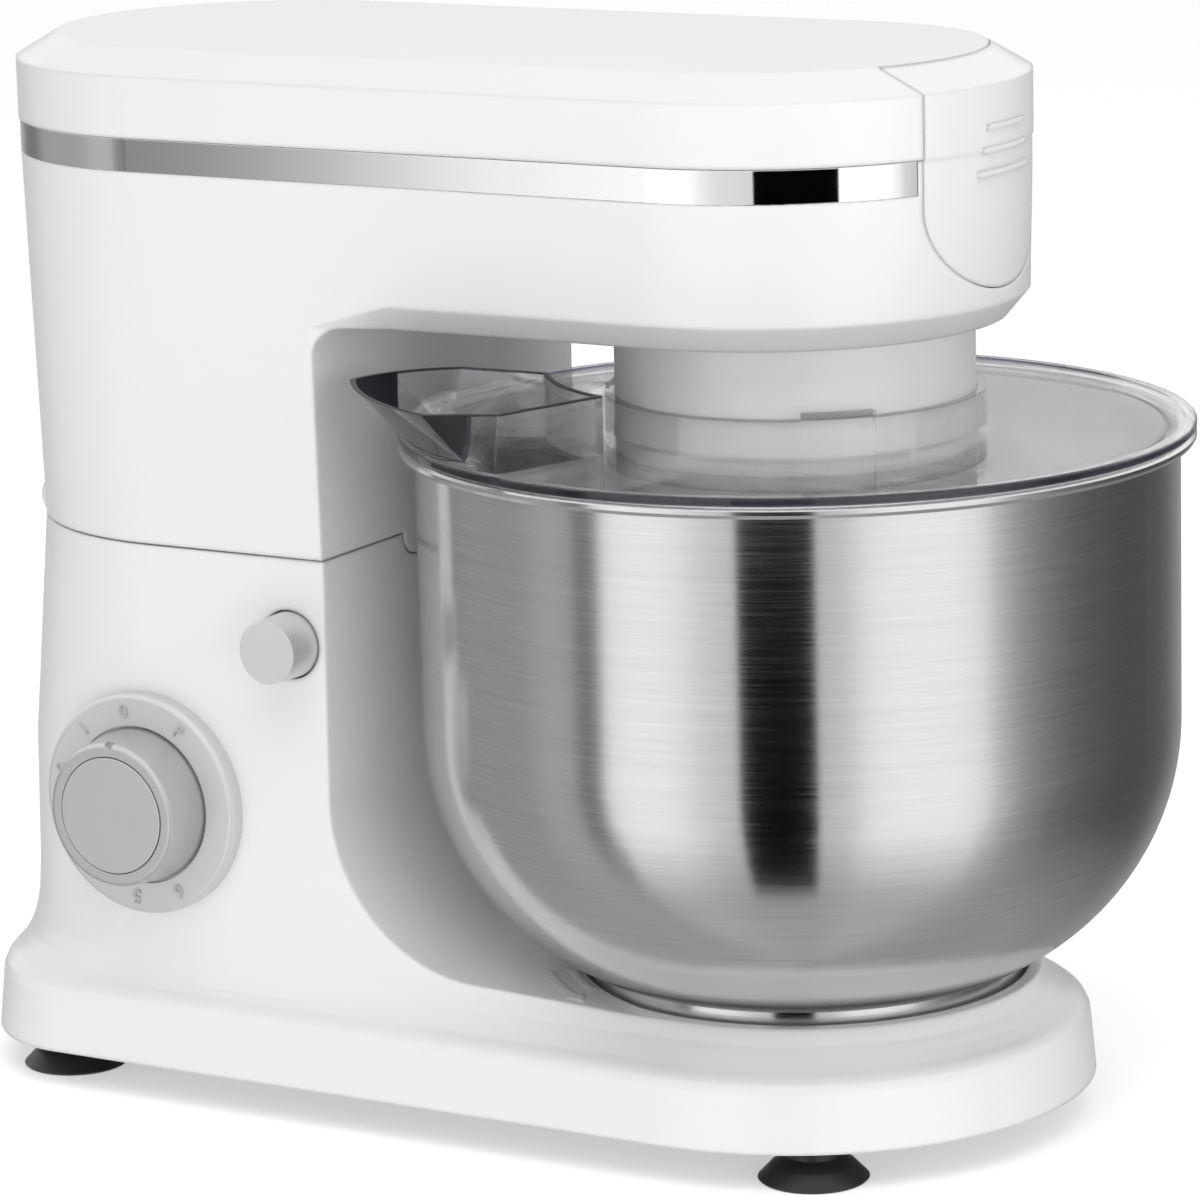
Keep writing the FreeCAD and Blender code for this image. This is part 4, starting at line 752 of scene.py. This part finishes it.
# degrees round from the camera's side, brightness
BRIGHTEST = 1.5
CARDS = [
    (-180, 0.38), (-169, 0.5), (-139, 0.21), (-120, 0.38), (-92, 0.42), (-80, 0.52), (-73, 0.5),
    (-67, 0.24), (-64.6, 0.26), (-63.2, 0.35), (-61.2, 0.75), (-59.1, 1.13), (-49, 1.3),
    (-30, 1.0), (-20, 0.85), (7, 0.8), (17, 1.05), (29, 1.3), (45, 1.3), (61, 0.75), (79, 0.28),
    (101, 0.13), (130, 0.12), (160, 0.3), (180, 0.38),
]
curve = ring.mapping.curves[0]
curve.points[0].location = (0.0, CARDS[0][1] / BRIGHTEST)
curve.points[1].location = (1.0, CARDS[-1][1] / BRIGHTEST)
for degrees, level in CARDS[1:-1]:
    curve.points.new((degrees + 180) / 360, level / BRIGHTEST)
ring.mapping.update()
tree.links.new(wrap.outputs[0], ring.inputs["Value"])
full = node(tree, "ShaderNodeMath", -100, 0, operation="MULTIPLY")
full.inputs[1].default_value = BRIGHTEST
tree.links.new(ring.outputs[0], full.inputs[0])
overhead = node(tree, "ShaderNodeMapRange", -400, -350)
set_range(overhead, From_Min=0.05, From_Max=0.2, To_Min=0.0, To_Max=1.0)
tree.links.new(split.outputs["Z"], overhead.inputs["Value"])
underneath = node(tree, "ShaderNodeMapRange", -400, -600)
set_range(underneath, From_Min=-0.8, From_Max=-0.45, To_Min=0.85, To_Max=0.0)
tree.links.new(split.outputs["Z"], underneath.inputs["Value"])
fade = node(tree, "ShaderNodeMix", 0, -300, data_type="FLOAT")
fade.inputs[3].default_value = 0.46
tree.links.new(underneath.outputs[0], fade.inputs[0])
tree.links.new(full.outputs[0], fade.inputs[2])
shiny = node(tree, "ShaderNodeMix", 100, 0, data_type="FLOAT")
shiny.inputs[3].default_value = 1.25
tree.links.new(overhead.outputs[0], shiny.inputs[0])
tree.links.new(fade.outputs[0], shiny.inputs[2])
path = node(tree, "ShaderNodeLightPath", -100, 400)
matt_or_shiny = node(tree, "ShaderNodeMix", 300, 100, data_type="FLOAT")
tree.links.new(path.outputs["Is Glossy Ray"], matt_or_shiny.inputs[0])
tree.links.new(dome.outputs[0], matt_or_shiny.inputs[2])
tree.links.new(shiny.outputs[0], matt_or_shiny.inputs[3])
seen = node(tree, "ShaderNodeMix", 500, 100, data_type="FLOAT")
seen.inputs[3].default_value = 1.0
tree.links.new(path.outputs["Is Camera Ray"], seen.inputs[0])
tree.links.new(matt_or_shiny.outputs[0], seen.inputs[2])
tree.links.new(seen.outputs[0], background.inputs["Strength"])
background.inputs["Color"].default_value = (1, 1, 1, 1)
bpy.context.scene.view_settings.view_transform = "Standard"
print("ring of card in", len(CARDS), "steps")

# %% Soft lights


def softbox(name, place_at, aim, width, height, watts):
    light = bpy.data.lights.new(name, "AREA")
    light.shape = "RECTANGLE"
    light.size = width
    light.size_y = height
    light.energy = watts
    obj = bpy.data.objects.new(name, light)
    bpy.context.collection.objects.link(obj)
    obj.location = place_at
    obj.rotation_euler = (Vector(aim) - Vector(place_at)).to_track_quat("-Z", "Y").to_euler()
    obj.visible_glossy = False
    return obj


CENTRE = (-0.07, 0.0, 0.15)
softbox("left_box", (0.1, -2.2, 0.3), CENTRE, 1.2, 1.2, 2.5)
softbox("top_box", (0.3, -0.7, 1.7), CENTRE, 1.6, 1.4, 13)
softbox("front_box", (1.3, -0.75, 0.3), CENTRE, 0.8, 0.8, 4)

# %% [markdown]
# Two narrow black cards stand close in front, below and above the camera's
# line. The bowl and the band each mirror one of them as a crisp dark stripe.

# %% Black cards


def card(name, start_at, end_at, low, high):
    # an upright card between two points on the floor plan
    deselect()
    bpy.ops.mesh.primitive_plane_add(size=1.0, location=(0, 0, 0))
    obj = bpy.context.object
    obj.name = name
    along = Vector((end_at[0] - start_at[0], end_at[1] - start_at[1], 0))
    middle = Vector(((start_at[0] + end_at[0]) / 2, (start_at[1] + end_at[1]) / 2,
                     (low + high) / 2))
    up = Vector((0, 0, 1))
    side = along.normalized()
    frame_of_card = Matrix((side, up, side.cross(up))).transposed()
    size = Matrix.Diagonal((along.length, high - low, 1, 1))
    obj.data.transform(Matrix.Translation(middle) @ frame_of_card.to_4x4() @ size)
    black, _, shader = start(name, Roughness=0.9, Base_Color=(0.002, 0.002, 0.002, 1))
    shader.inputs["Specular IOR Level"].default_value = 0.0
    dress(obj, black)
    obj.visible_camera = False
    obj.visible_diffuse = False
    obj.visible_shadow = False
    obj.visible_transmission = False
    return obj


card("bowl_card", (0.081, -0.350), (0.1934, -0.304), -0.22, 0.19)
card("band_card", (0.1093, -0.3026), (0.2546, -0.1895), 0.225, 0.27)
floor.visible_glossy = False
